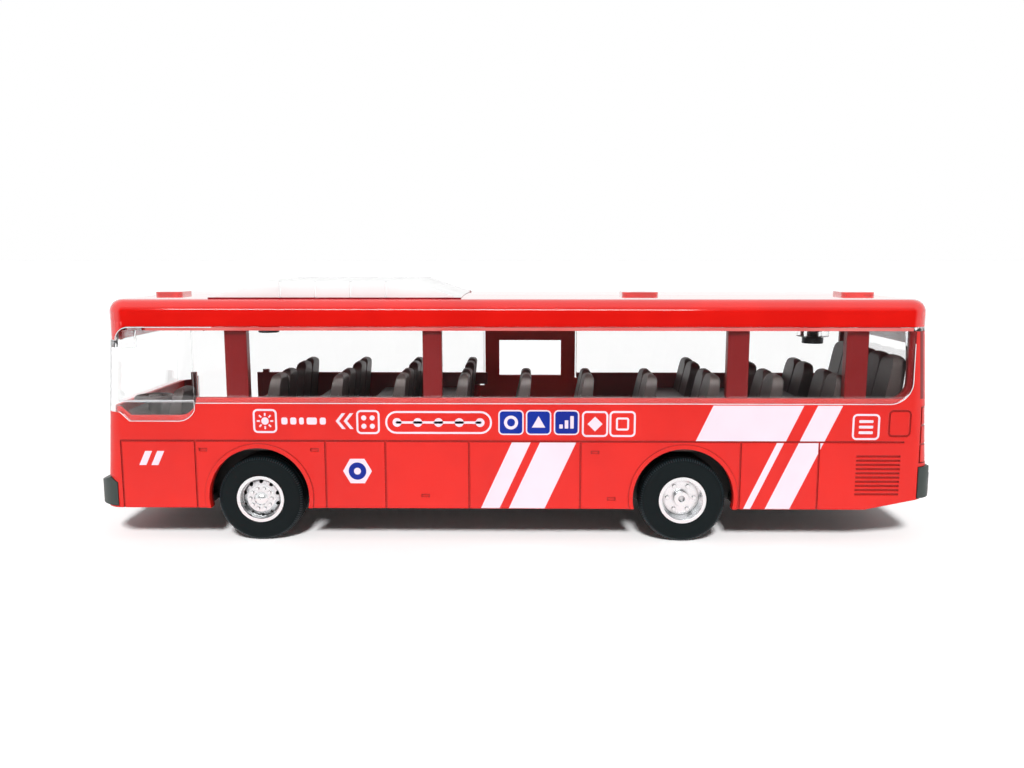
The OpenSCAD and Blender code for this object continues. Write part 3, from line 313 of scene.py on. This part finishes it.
def clear_plastic(name):
    """Clear polystyrene, moulded in a polished tool: it bends what is behind it and mirrors at a slant.
    Lamps and soft light pass straight through, as thin clear plastic lets them, and so does light that
    has gone back and forth inside an edge, which would otherwise look black."""
    material, tree, place = new_material(name)
    ripple = add(tree, "ShaderNodeTexNoise", {"Vector": place, "Scale": per_mm(RIPPLE_MM), "Detail": 1.0})
    bump = add(tree, "ShaderNodeBump", {"Height": ripple.outputs["Fac"], "Distance": RIPPLE_DEPTH * MM})
    shader = add(tree, "ShaderNodeBsdfPrincipled", {
        "Base Color": linear("#ffffff"), "Roughness": 0.015, "IOR": 1.5,
        "Transmission Weight": 1.0, "Normal": bump.outputs["Normal"]})
    through = add(tree, "ShaderNodeBsdfTransparent", {"Color": linear("#f8f9fa")})
    rays = add(tree, "ShaderNodeLightPath").outputs
    soft = add(tree, "ShaderNodeMath", {0: rays["Is Shadow Ray"], 1: rays["Is Diffuse Ray"]},
               operation="MAXIMUM")
    trapped = add(tree, "ShaderNodeMath", {0: rays["Ray Depth"], 1: TRAPPED}, operation="GREATER_THAN")
    passes = add(tree, "ShaderNodeMath", {0: soft.outputs[0], 1: trapped.outputs[0]}, operation="MAXIMUM")
    mix = add(tree, "ShaderNodeMixShader", {
        "Fac": passes.outputs[0], 1: shader.outputs["BSDF"], 2: through.outputs["BSDF"]})
    add(tree, "ShaderNodeOutputMaterial", {"Surface": mix.outputs["Shader"]})
    return material


clear_shell = clear_plastic("polished_moulded_clear_polystyrene")


# Moulded pieces with broken edges

# An edge sharper than the crease is broken and a flatter one is smooth; faces in one plane are joined
CREASE, ONE_PLANE = radians(28), radians(0.3)
# Points closer than this are one
WELD_MM = 0.002


def moulding(node, material, edge=0.0, segments=2):
    """A welded copy of a CAD node that stands for it: its curves are smooth, and an edge width rounds its
    sharp edges."""
    welded = bmesh.new()
    welded.from_mesh(frame["nodes"][node].data)
    bmesh.ops.remove_doubles(welded, verts=welded.verts, dist=WELD_MM * MM)
    if edge:
        bmesh.ops.dissolve_limit(welded, angle_limit=ONE_PLANE, verts=welded.verts, edges=welded.edges)
    piece = drawn(node + "_moulding", welded)
    if edge:
        bevel = piece.modifiers.new("edge", "BEVEL")
        bevel.width = edge * MM
        bevel.segments = segments
        bevel.limit_method = "ANGLE"
        bevel.angle_limit = CREASE
        bevel.use_clamp_overlap = True
        bevel.miter_outer = "MITER_ARC"
        apply_modifiers(piece)
    piece.data.shade_smooth()
    piece.data.set_sharp_from_angle(angle=CREASE)
    if not edge:
        even = piece.modifiers.new("even", "WEIGHTED_NORMAL")
        even.keep_sharp = True
        even.weight = 100
        apply_modifiers(piece)
    dress(piece, material, frame["nodes"][node]["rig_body"])
    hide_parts(node)


for node, finish in (("body_shell", body_red), ("middle_door", door_red), ("glazing", clear_shell),
                     ("seat_tray", tray_grey), ("chassis", chassis_black)):
    frame["nodes"][node].material_slots[0].material = finish
moulding("roof", roof_red)
moulding("roof_pod", pod_white, edge=0.15)
moulding("steering_wheel", tray_grey, edge=0.1)
for end in ("front", "rear"):
    moulding(f"{end}_bumper", bumper_grey, edge=0.35, segments=3)
for side in ("left", "right"):
    for end in ("front", "rear"):
        moulding(f"tyre_{end}_{side}", tyre_black, edge=0.08)
        frame["nodes"][f"rim_{end}_{side}"].material_slots[0].material = rim_plating
for node, steel in (("front_axle", axle_steel), ("rear_axle", axle_steel),
                    ("chassis_screws", screw_steel), ("roof_screws", screw_steel)):
    moulding(node, steel, edge=0.06)


# Shapes for plates: lists of places along the bus and up

# The steps of a round corner and of a whole circle
CORNER_STEPS, CIRCLE_STEPS = 6, 28
# All stripes lean by the same amount: this far along for each millimetre up
SLANT = 0.46


def arc(x, z, r, start, sweep, count):
    """Points on a part of a circle, both ends included."""
    return [(x + r * cos(start + sweep * i / count), z + r * sin(start + sweep * i / count))
            for i in range(count + 1)]


def disc(x, z, r, count=CIRCLE_STEPS):
    """A circle, or a shape with a few equal sides, about a place."""
    return arc(x, z, r, 0.0, 2 * pi, count)[:-1]


def box(x, z, w, h, r):
    """A rounded rectangle about a place."""
    points = []
    for quarter, (sx, sz) in enumerate(((1, 1), (-1, 1), (-1, -1), (1, -1))):
        points += arc(x + sx * (w / 2 - r), z + sz * (h / 2 - r), r, quarter * pi / 2, pi / 2, CORNER_STEPS)
    return points


def rectangle(left, right, low, high):
    """A plain rectangle between its limits."""
    return [(left, low), (right, low), (right, high), (left, high)]


def stripe(left, right, low, high, at):
    """A leaning band between two heights; left and right are its edges at the height named last."""
    return [(x + SLANT * (z - at), z) for x, z in rectangle(left, right, low, high)]


def trimmed(points, low, high):
    """The part of a convex outline that lies between two places along the bus."""
    for limit, sign in ((low, 1), (high, -1)):
        kept = []
        for (ax, az), (bx, bz) in zip(points, points[1:] + points[:1]):
            da, db = sign * (ax - limit), sign * (bx - limit)
            if da >= 0:
                kept.append((ax, az))
            if da * db < 0:
                t = da / (da - db)
                kept.append((ax + t * (bx - ax), az + t * (bz - az)))
        points = kept
    return points


# Printed livery

# The body's side, how deep a plate starts in it, and how far each layer of ink stands out
SIDE, SUNK = 22.0, 0.02
FIRST_INK, SECOND_INK, THIRD_INK = 0.03, 0.05, 0.07
white = bmesh.new()
blue = bmesh.new()
far = bmesh.new()


def plate(bm, outline, layer=FIRST_INK, hole=(), side=LEFT, face=SIDE):
    """A thin closed plate on a side of the bus; a hole has as many points as the outline."""
    loops = [[[bm.verts.new((x * MM, side * (face + y) * MM, z * MM)) for x, z in loop]
              for y in (-SUNK, layer)] for loop in (outline, hole) if loop]
    count = len(outline)
    steps = [(i, (i + 1) % count) for i in range(count)]
    faces = [bm.faces.new((back[i], back[j], front[j], front[i])) for back, front in loops for i, j in steps]
    for level in (0, 1):
        outer = loops[0][level]
        if hole:
            inner = loops[1][level]
            faces += [bm.faces.new((outer[i], outer[j], inner[j], inner[i])) for i, j in steps]
        else:
            faces.append(bm.faces.new(outer))
    bmesh.ops.recalc_face_normals(bm, faces=faces)


# Heights: top of the stripes, the belt's groove and the skirt's edge
STRIPE_TOP, BELT_TOP, BELT_LOW, SKIRT = 30.0, 22.35, 21.95, 7.5
# Edges of the rear stripes: the broad and the long one at their top, the thin one at the belt
BROAD, LONG, THIN = (41.9, 61.0), (63.93, 69.17), (55.6, 57.1)
# Panel grooves that cut the stripes below the belt, and a place past either end of the bus
REAR_GROOVES, GROOVE_HALF, PAST_END = (48.0, 64.6), 0.2, 90.0


def rear_stripes(bm, side):
    """A broad band above the belt, a long one from the top to the skirt and a thin one below the belt."""
    cuts = [-PAST_END] + [x + s * GROOVE_HALF for x in REAR_GROOVES for s in (-1, 1)] + [PAST_END]
    for left, right in (BROAD, LONG):
        plate(bm, stripe(left, right, BELT_TOP, STRIPE_TOP, STRIPE_TOP), side=side)
    for (left, right), at in ((LONG, STRIPE_TOP), (THIN, BELT_LOW)):
        band = stripe(left, right, SKIRT, BELT_LOW, at)
        for start, end in zip(cuts[::2], cuts[1::2]):
            part = trimmed(band, start, end)
            if len(part) > 2:
                plate(bm, part, side=side)


rear_stripes(white, LEFT)
rear_stripes(far, RIGHT)

# Two leaning bands between the middle panel grooves: their edges at the skirt
MIDDLE_BANDS = ((-1.4, 6.3), (-7.4, -3.4))
for left, right in MIDDLE_BANDS:
    plate(white, stripe(left, right, SKIRT, BELT_LOW, SKIRT))

# Plain signs in a row under the windows: the line width and the corner of their frames
LINE, CORNER = 0.42, 1.0


def ring(x, z, w, h, r=CORNER):
    """A rounded white frame of one line width."""
    plate(white, box(x, z, w, h, r), hole=box(x, z, w - 2 * LINE, h - 2 * LINE, r - LINE))


# A sun in a frame
SUN_X, SUN_Z, SUN_R = -53.4, 26.48, 0.8
SUN_RAYS, RAY_START, RAY_END, RAY_HALF = 8, 1.1, 1.75, 0.17
ring(SUN_X, SUN_Z, w=5.14, h=5.2)
plate(white, disc(SUN_X, SUN_Z, SUN_R))
for i in range(SUN_RAYS):
    a = 2 * pi * i / SUN_RAYS
    plate(white, [(SUN_X + u * cos(a) - v * sin(a), SUN_Z + u * sin(a) + v * cos(a))
                  for u, v in rectangle(RAY_START, RAY_END, -RAY_HALF, RAY_HALF)])

# A row of dashes: where each starts and its length
DASHES = ((-49.9, 1.3), (-48.0, 1.3), (-46.1, 1.0), (-44.5, 2.2), (-41.7, 1.3))
DASH_Z, DASH_H, DASH_ROUND = 26.5, 1.5, 0.4
for start, length in DASHES:
    plate(white, box(start + length / 2, DASH_Z, length, DASH_H, DASH_ROUND))

# A double chevron: the tips, the reach of the arms and their width
CHEVRON_TIPS, CHEVRON_Z = (-38.3, -36.6), 26.5
ARM_ALONG, ARM_UP, ARM_W = 1.35, 1.7, 0.75
for x in CHEVRON_TIPS:
    upper = [(x, CHEVRON_Z), (x + ARM_ALONG, CHEVRON_Z + ARM_UP), (x + ARM_ALONG + ARM_W, CHEVRON_Z + ARM_UP)]
    lower = [(x + ARM_ALONG + ARM_W, CHEVRON_Z - ARM_UP), (x + ARM_ALONG, CHEVRON_Z - ARM_UP)]
    plate(white, upper + [(x + ARM_W, CHEVRON_Z)] + lower)

# Four dots in a frame
DOTS_X, DOTS_Z, DOT_OFF, DOT_R = -31.39, 26.3, 0.9, 0.55
ring(DOTS_X, DOTS_Z, w=5.0, h=5.2)
for dx in (-DOT_OFF, DOT_OFF):
    for dz in (-DOT_OFF, DOT_OFF):
        plate(white, disc(DOTS_X + dx, DOTS_Z + dz, DOT_R))

# A line with stops in a long rounded frame
ROUTE_X, ROUTE_Z = -16.35, 26.24
STOPS, FIRST_STOP, STOP_STEP, STOP_R = 5, -25.2, 4.42, 0.95
ring(ROUTE_X, ROUTE_Z, w=22.74, h=4.93, r=2.4)
plate(white, box(ROUTE_X, ROUTE_Z, w=18.2, h=0.5, r=0.2))
for i in range(STOPS):
    plate(white, disc(FIRST_STOP + i * STOP_STEP, ROUTE_Z, STOP_R))

# Three blue fields with white rims: a ring, a triangle and rising bars
FIELD_Z, FIELD_W, FIELD_RIM = 26.28, 5.4, 0.3
RING_X, RING_OUT, RING_IN = -0.93, 1.5, 0.85
TRIANGLE_X, TRIANGLE_HALF, TRIANGLE_LOW, TRIANGLE_TOP = 4.92, 1.42, 25.2, 27.7
BARS_X, BAR_STEP, BAR_W, BAR_UP, BARS_LOW, BAR_ROUND = 10.86, 1.16, 0.75, 0.9, 25.0, 0.15
for x in (RING_X, TRIANGLE_X, BARS_X):
    inner = FIELD_W - 2 * FIELD_RIM
    plate(white, box(x, FIELD_Z, FIELD_W, FIELD_W, CORNER))
    plate(blue, box(x, FIELD_Z, inner, inner, CORNER - FIELD_RIM), SECOND_INK)
plate(white, disc(RING_X, FIELD_Z, RING_OUT), THIRD_INK, hole=disc(RING_X, FIELD_Z, RING_IN))
plate(white, [(TRIANGLE_X, TRIANGLE_TOP), (TRIANGLE_X - TRIANGLE_HALF, TRIANGLE_LOW),
              (TRIANGLE_X + TRIANGLE_HALF, TRIANGLE_LOW)], THIRD_INK)
for i in (1, 2, 3):
    plate(white, box(BARS_X + (i - 2) * BAR_STEP, BARS_LOW + i * BAR_UP / 2, BAR_W, i * BAR_UP, BAR_ROUND),
          THIRD_INK)

# A diamond and a square, each in a frame
DIAMOND_X, DIAMOND_Z, DIAMOND_R = 16.92, 25.98, 1.6
SQUARE_X, SQUARE_Z = 22.75, 26.0
ring(DIAMOND_X, DIAMOND_Z, w=5.6, h=5.6)
plate(white, disc(DIAMOND_X, DIAMOND_Z, DIAMOND_R, count=4))
ring(SQUARE_X, SQUARE_Z, w=5.6, h=5.6)
ring(SQUARE_X, SQUARE_Z, w=2.8, h=2.8, r=0.5)

# Three level bars in a frame at the rear
LEVELS_X, LEVELS_Z, LEVELS_LOW, LEVEL_STEP = 74.25, 25.47, 24.25, 1.2
ring(LEVELS_X, LEVELS_Z, w=5.8, h=5.6)
for i in range(3):
    plate(white, box(LEVELS_X, LEVELS_LOW + i * LEVEL_STEP, w=3.0, h=0.6, r=0.2))

# Two leaning bars at the front
FRONT_BARS, FRONT_BAR_W, FRONT_BAR_LOW, FRONT_BAR_TOP = (-80.9, -78.3), 1.5, 16.8, 19.9
for x in FRONT_BARS:
    plate(white, stripe(x, x + FRONT_BAR_W, FRONT_BAR_LOW, FRONT_BAR_TOP, FRONT_BAR_LOW))

# A mark behind the front wheel: a six-sided white field, a blue disc and a white dot
MARK_X, MARK_Z = -33.9, 15.6
MARK_FIELD, MARK_DISC, MARK_DOT = 3.1, 1.9, 0.75
plate(white, disc(MARK_X, MARK_Z, MARK_FIELD, count=6))
plate(blue, disc(MARK_X, MARK_Z, MARK_DISC), SECOND_INK)
plate(white, disc(MARK_X, MARK_Z, MARK_DOT), THIRD_INK)

for name, bm, ink in (("white_print", white, ink_white), ("blue_print", blue, ink_blue),
                      ("far_side_print", far, ink_white)):
    dress(drawn(name, bm), ink, "bus")


# Painted highlights along the clear shell's edges

def bead_tree():
    """Fine round beads along a frame of edges."""
    tree = bpy.data.node_groups.new("clear_edge_beads", "GeometryNodeTree")
    for name, kind in (("Edges", "NodeSocketGeometry"), ("Bead Radius", "NodeSocketFloat"),
                       ("Bead Sides", "NodeSocketInt"), ("Material", "NodeSocketMaterial")):
        tree.interface.new_socket(name, in_out="INPUT", socket_type=kind)
    tree.interface.new_socket("Beads", in_out="OUTPUT", socket_type="NodeSocketGeometry")
    given = add(tree, "NodeGroupInput").outputs
    lines = add(tree, "GeometryNodeMeshToCurve", {"Mesh": given["Edges"]})
    section = add(tree, "GeometryNodeCurvePrimitiveCircle", {
        "Resolution": given["Bead Sides"], "Radius": given["Bead Radius"]})
    beads = add(tree, "GeometryNodeCurveToMesh", {
        "Curve": lines.outputs["Curve"], "Profile Curve": section.outputs["Curve"], "Fill Caps": True})
    real = add(tree, "GeometryNodeRealizeInstances", {"Geometry": beads.outputs["Mesh"]})
    dressed = add(tree, "GeometryNodeSetMaterial", {
        "Geometry": real.outputs["Geometry"], "Material": given["Material"]})
    add(tree, "NodeGroupOutput", {"Beads": dressed.outputs["Geometry"]})
    return tree


# Heights and ends of the clear shell's top rim
RIM_LOW, RIM_TOP, RIM_FRONT, RIM_REAR = 45.8, 46.5, -78.0, 83.0
# What stands further out than this is on a pane's outer face
PANE_FACE = 21.9
# The painted highlight bead along the edges
BEAD_R, BEAD_SIDES = 0.09, 6
# The rounded edge under the roof's front: its centre, radius and steps, and where its straight run ends
HEADER_X, HEADER_Z, HEADER_R, HEADER_STEPS, HEADER_END = -81.7, 43.7, 2.75, 10, -64.0


def pane_edge(edge):
    """Whether an edge is a sharp one of a pane's outer face, below the top rim."""
    sharp = len(edge.link_faces) == 2 and edge.calc_face_angle() > CREASE
    return sharp and all(abs(v.co.y) > PANE_FACE * MM and v.co.z < RIM_LOW * MM for v in edge.verts)


shell = bmesh.new()
shell.from_mesh(frame["nodes"]["glazing"].data)
bmesh.ops.remove_doubles(shell, verts=shell.verts, dist=WELD_MM * MM)
others = [edge for edge in shell.edges if not pane_edge(edge)]
bmesh.ops.delete(shell, geom=list(shell.faces), context="FACES_ONLY")
bmesh.ops.delete(shell, geom=others, context="EDGES")
header = arc(HEADER_X, HEADER_Z, HEADER_R, pi, -pi / 2, HEADER_STEPS) + [(HEADER_END, HEADER_Z + HEADER_R)]
for side in (LEFT, RIGHT):
    line = [shell.verts.new((x * MM, side * SIDE * MM, z * MM)) for x, z in header]
    for start, end in zip(line, line[1:]):
        shell.edges.new((start, end))
clear_edges = drawn("clear_edges", shell)
grow(clear_edges, bead_tree(), {"Bead Radius": BEAD_R * MM, "Bead Sides": BEAD_SIDES, "Material": painted_edge_highlight})
dress(clear_edges, painted_edge_highlight, "bus")

# A painted glow: the pale red line along the shell's top rim, under the roof
rim = bmesh.new()
for side in (LEFT, RIGHT):
    plate(rim, rectangle(RIM_FRONT, RIM_REAR, RIM_LOW, RIM_TOP), side=side)
dress(drawn("roof_rim_line", rim), rim_glow, "bus")


# Painted shadow under the pod's foot: a fine dark line along each side

# The pod's side, and the painted shadow's lower and upper edge
POD_SIDE, FOOT_LOW, FOOT_TOP = 19.0, 52.25, 52.6
pod_front, pod_rear = (corner.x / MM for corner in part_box("roof_pod"))
foot = bmesh.new()
for side in (LEFT, RIGHT):
    plate(foot, rectangle(pod_front, pod_rear, FOOT_LOW, FOOT_TOP), side=side, face=POD_SIDE)
dress(drawn("pod_foot_painted_shadow", foot), pod_foot_shadow_red, "bus")


# Inner walls of the wheel arches

# They stand on the chassis, reach up to the seat tray and leave the axle free. Partly painted shade: they
# block the light through the arches, and their black paints the shade inside them
HOUSING_SIDE, HOUSING_T = 14.1, 0.4
HOUSING_LOW, HOUSING_TOP, HOUSING_HALF = 9.2, 19.6, 13.5
SHOULDER, SHOULDER_STEPS = 4.0, 8
AXLE_ROOM, AXLE_STEPS = 2.2, 12


def housing(x):
    """Outline of one wall: round shoulders above, and an open notch over the axle below."""
    off, up = HOUSING_HALF - SHOULDER, HOUSING_TOP - SHOULDER
    points = [(x - HOUSING_HALF, HOUSING_LOW)]
    points += arc(x - off, up, SHOULDER, pi, -pi / 2, SHOULDER_STEPS)
    points += arc(x + off, up, SHOULDER, pi / 2, -pi / 2, SHOULDER_STEPS)
    points.append((x + HOUSING_HALF, HOUSING_LOW))
    return points + arc(x, HOUSING_LOW, AXLE_ROOM, 0.0, pi, AXLE_STEPS)


walls = bmesh.new()
for end in ("front", "rear"):
    low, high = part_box(f"tyre_{end}_left")
    for side in (LEFT, RIGHT):
        plate(walls, housing((low.x + high.x) / 2 / MM), HOUSING_T, side=side, face=HOUSING_SIDE)
dress(drawn("wheel_housings", walls), chassis_black, "bus")


# Ribs on the tyres' shoulders

def rib_tree():
    """A ring of fine ribs on the outer shoulder of each of an axle's two tyres."""
    tree = bpy.data.node_groups.new("tyre_rib_ring", "GeometryNodeTree")
    for name, kind in (("Count", "NodeSocketInt"), ("Shoulder Ring", "NodeSocketFloat"),
                       ("Rib Path", "NodeSocketFloat"), ("Rib Start", "NodeSocketFloat"),
                       ("Rib Sweep", "NodeSocketFloat"), ("Rib Points", "NodeSocketInt"),
                       ("Rib Radius", "NodeSocketFloat"), ("Rib Sides", "NodeSocketInt"),
                       ("Axle", "NodeSocketVector"), ("Shoulder Side", "NodeSocketFloat"),
                       ("Material", "NodeSocketMaterial")):
        tree.interface.new_socket(name, in_out="INPUT", socket_type=kind)
    tree.interface.new_socket("Ribs", in_out="OUTPUT", socket_type="NodeSocketGeometry")
    given = add(tree, "NodeGroupInput").outputs
    path = add(tree, "GeometryNodeCurveArc", {
        "Resolution": given["Rib Points"], "Radius": given["Rib Path"],
        "Start Angle": given["Rib Start"], "Sweep Angle": given["Rib Sweep"]})
    section = add(tree, "GeometryNodeCurvePrimitiveCircle", {
        "Resolution": given["Rib Sides"], "Radius": given["Rib Radius"]})
    rib = add(tree, "GeometryNodeCurveToMesh", {
        "Curve": path.outputs["Curve"], "Profile Curve": section.outputs["Curve"], "Fill Caps": True})
    upright = add(tree, "GeometryNodeTransform", {
        "Geometry": rib.outputs["Mesh"], "Rotation": (pi / 2, 0.0, 0.0)})
    places = add(tree, "GeometryNodeMeshCircle", {
        "Vertices": given["Count"], "Radius": given["Shoulder Ring"]})
    step = add(tree, "ShaderNodeMath", {0: 2 * pi, 1: given["Count"]}, operation="DIVIDE")
    index = add(tree, "GeometryNodeInputIndex")
    angle = add(tree, "ShaderNodeMath", {0: index.outputs["Index"], 1: step.outputs[0]}, operation="MULTIPLY")
    turn = add(tree, "ShaderNodeCombineXYZ", {"Z": angle.outputs[0]})
    ribs = add(tree, "GeometryNodeInstanceOnPoints", {
        "Points": places.outputs["Mesh"], "Instance": upright.outputs["Geometry"],
        "Rotation": turn.outputs[0]})
    both = add(tree, "GeometryNodeJoinGeometry")
    for side in (LEFT, RIGHT):
        reach = add(tree, "ShaderNodeMath", {0: given["Shoulder Side"], 1: float(side)}, operation="MULTIPLY")
        out = add(tree, "ShaderNodeCombineXYZ", {"Y": reach.outputs[0]})
        place = add(tree, "ShaderNodeVectorMath", {0: given["Axle"], 1: out.outputs[0]}, operation="ADD")
        wheel = add(tree, "GeometryNodeTransform", {
            "Geometry": ribs.outputs["Instances"], "Translation": place.outputs[0],
            "Rotation": (-side * pi / 2, 0.0, 0.0)})
        tree.links.new(wheel.outputs["Geometry"], both.inputs["Geometry"])
    real = add(tree, "GeometryNodeRealizeInstances", {"Geometry": both.outputs["Geometry"]})
    dressed = add(tree, "GeometryNodeSetMaterial", {
        "Geometry": real.outputs["Geometry"], "Material": given["Material"]})
    add(tree, "NodeGroupOutput", {"Ribs": dressed.outputs["Geometry"]})
    return tree


# The rounding of a tyre's shoulder
TYRE_ROUND = 1.3
# The ribs: how many, how thick, and how far they stand out of the shoulder
RIB_COUNT, RIB_R, RIB_PROUD = 108, 0.15, 0.08
# A rib starts far enough from the tread to stay off the ground, and runs on round the shoulder
RIB_START, RIB_SWEEP = radians(22), radians(34)
RIB_POINTS, RIB_SIDES = 7, 6
rib_ring = rib_tree()
for end in ("front", "rear"):
    low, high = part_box(f"tyre_{end}_left")
    centre = (low + high) / 2
    tyre_r = (high.z - low.z) / 2
    ribs = drawn(f"{end}_tyre_ribs", bmesh.new())
    grow(ribs, rib_ring, {
        "Count": RIB_COUNT, "Shoulder Ring": tyre_r - TYRE_ROUND * MM,
        "Rib Path": (TYRE_ROUND + RIB_PROUD - RIB_R) * MM, "Rib Start": RIB_START, "Rib Sweep": RIB_SWEEP,
        "Rib Points": RIB_POINTS, "Rib Radius": RIB_R * MM, "Rib Sides": RIB_SIDES,
        "Axle": (centre.x, 0.0, centre.z), "Shoulder Side": -low.y - TYRE_ROUND * MM, "Material": rib_black})
    dress(ribs, rib_black, f"{end}_wheels")


# Camera, floor and light

# The camera stands where the photograph was taken, a little above the roof's height
lens = bpy.data.cameras.new("camera")
lens.lens = 31.335
lens.sensor_width = 36.0
camera = bpy.data.objects.new("camera", lens)
camera.location = (0.00148, -0.20834, 0.06162)
camera.rotation_euler = (radians(81.734), 0.0, radians(0.677))
scene.collection.objects.link(camera)
scene.camera = camera

# White paper under and behind the toy; it ends a little behind the camera
FLOOR_HALF, FLOOR_FRONT = 8.0, -0.222
FIBRE_MM = 2
# Seen by the camera, in a mirror or through glass, lit paper is white
SHOWN = 1.3
paper, tree, place = new_material("matt_white_paper")
fibre = add(tree, "ShaderNodeTexNoise", {"Vector": place, "Scale": per_mm(FIBRE_MM), "Detail": 2.0})
tone = add(tree, "ShaderNodeValToRGB", {"Fac": fibre.outputs["Fac"]})
for element, code in zip(tone.color_ramp.elements, ("#f5f5f5", "#f9f9f9")):
    element.color = linear(code)
rays = add(tree, "ShaderNodeLightPath").outputs
shown = add(tree, "ShaderNodeMapRange", {"Value": rays["Is Diffuse Ray"], "To Min": SHOWN, "To Max": 1.0})
lit = add(tree, "ShaderNodeVectorMath", {0: tone.outputs["Color"], "Scale": shown.outputs[0]},
          operation="SCALE")
matt = add(tree, "ShaderNodeBsdfDiffuse", {"Color": lit.outputs[0]})
add(tree, "ShaderNodeOutputMaterial", {"Surface": matt.outputs["BSDF"]})
sheet = bmesh.new()
corners = rectangle(-FLOOR_HALF, FLOOR_HALF, FLOOR_FRONT, FLOOR_HALF)
sheet.faces.new([sheet.verts.new((x, y, 0.0)) for x, y in corners])
floor = drawn("floor", sheet)
floor.data.materials.append(paper)

# A white studio with a dim place round the camera: it shows as white, also through the windows,
# and what faces the camera mirrors the dim place
SKY_LIGHT, DIM_FRONT = 0.35, 0.05
# The dim place ends between these heights, and between these turns away from the camera's side
ABOVE, ASIDE = (0.25, 0.95), (-0.82, -0.6)
# Light that met fewer mirrors than this came straight through the windows
FIRST_MIRROR = 0.5
world = bpy.data.worlds.new("white_studio")
scene.world = world
world.use_nodes = True
tree = world.node_tree
tree.nodes.clear()
rays = add(tree, "ShaderNodeLightPath").outputs
direction = add(tree, "ShaderNodeTexCoord").outputs["Generated"]
way = add(tree, "ShaderNodeSeparateXYZ", {"Vector": direction}).outputs
above = add(tree, "ShaderNodeMapRange", {"Value": way["Z"], "From Min": ABOVE[0], "From Max": ABOVE[1]})
aside = add(tree, "ShaderNodeMapRange", {"Value": way["Y"], "From Min": ASIDE[0], "From Max": ASIDE[1]})
bright = add(tree, "ShaderNodeMath", {0: above.outputs[0], 1: aside.outputs[0]}, operation="MAXIMUM")
mirrored = add(tree, "ShaderNodeMapRange", {"Value": bright.outputs[0], "To Min": DIM_FRONT, "To Max": 1.0})
gives = add(tree, "ShaderNodeMath", {0: mirrored.outputs[0], 1: SKY_LIGHT}, operation="MULTIPLY")
soft = add(tree, "ShaderNodeMix", {
    "Factor": rays["Is Diffuse Ray"], "A": mirrored.outputs[0], "B": gives.outputs[0]})
straight = add(tree, "ShaderNodeMath", {0: rays["Glossy Depth"], 1: FIRST_MIRROR}, operation="LESS_THAN")
through = add(tree, "ShaderNodeMath", {0: rays["Is Transmission Ray"], 1: straight.outputs[0]},
              operation="MULTIPLY")
seen = add(tree, "ShaderNodeMath", {0: rays["Is Camera Ray"], 1: through.outputs[0]}, operation="MAXIMUM")
level = add(tree, "ShaderNodeMath", {0: seen.outputs[0], 1: soft.outputs[0]}, operation="MAXIMUM")
sky = add(tree, "ShaderNodeBackground", {"Color": linear("#ffffff"), "Strength": level.outputs[0]})
add(tree, "ShaderNodeOutputWorld", {"Surface": sky.outputs["Background"]})


def lamp(name, kind, energy, place, turn, **settings):
    """A studio lamp at a place, turned by degrees about X, Y and Z."""
    light = bpy.data.lights.new(name, kind)
    light.energy = energy
    for key, value in settings.items():
        setattr(light, key, value)
    stand = bpy.data.objects.new(name, light)
    stand.location = place
    stand.rotation_euler = [radians(a) for a in turn]
    scene.collection.objects.link(stand)
    return stand


# A large soft key light over the camera, and a narrow strip that draws the line along the roof's edge
key = lamp("key", "SUN", energy=2.8, place=(0.0, -2.0, 2.0), turn=(47, 0, 0), angle=radians(11))
key.visible_glossy = False
strip = lamp("strip", "AREA", energy=1.6, place=(-0.10, -0.75, 0.34), turn=(68, 0, 0),
             shape="RECTANGLE", size=0.58, size_y=0.1)
strip.visible_diffuse = False
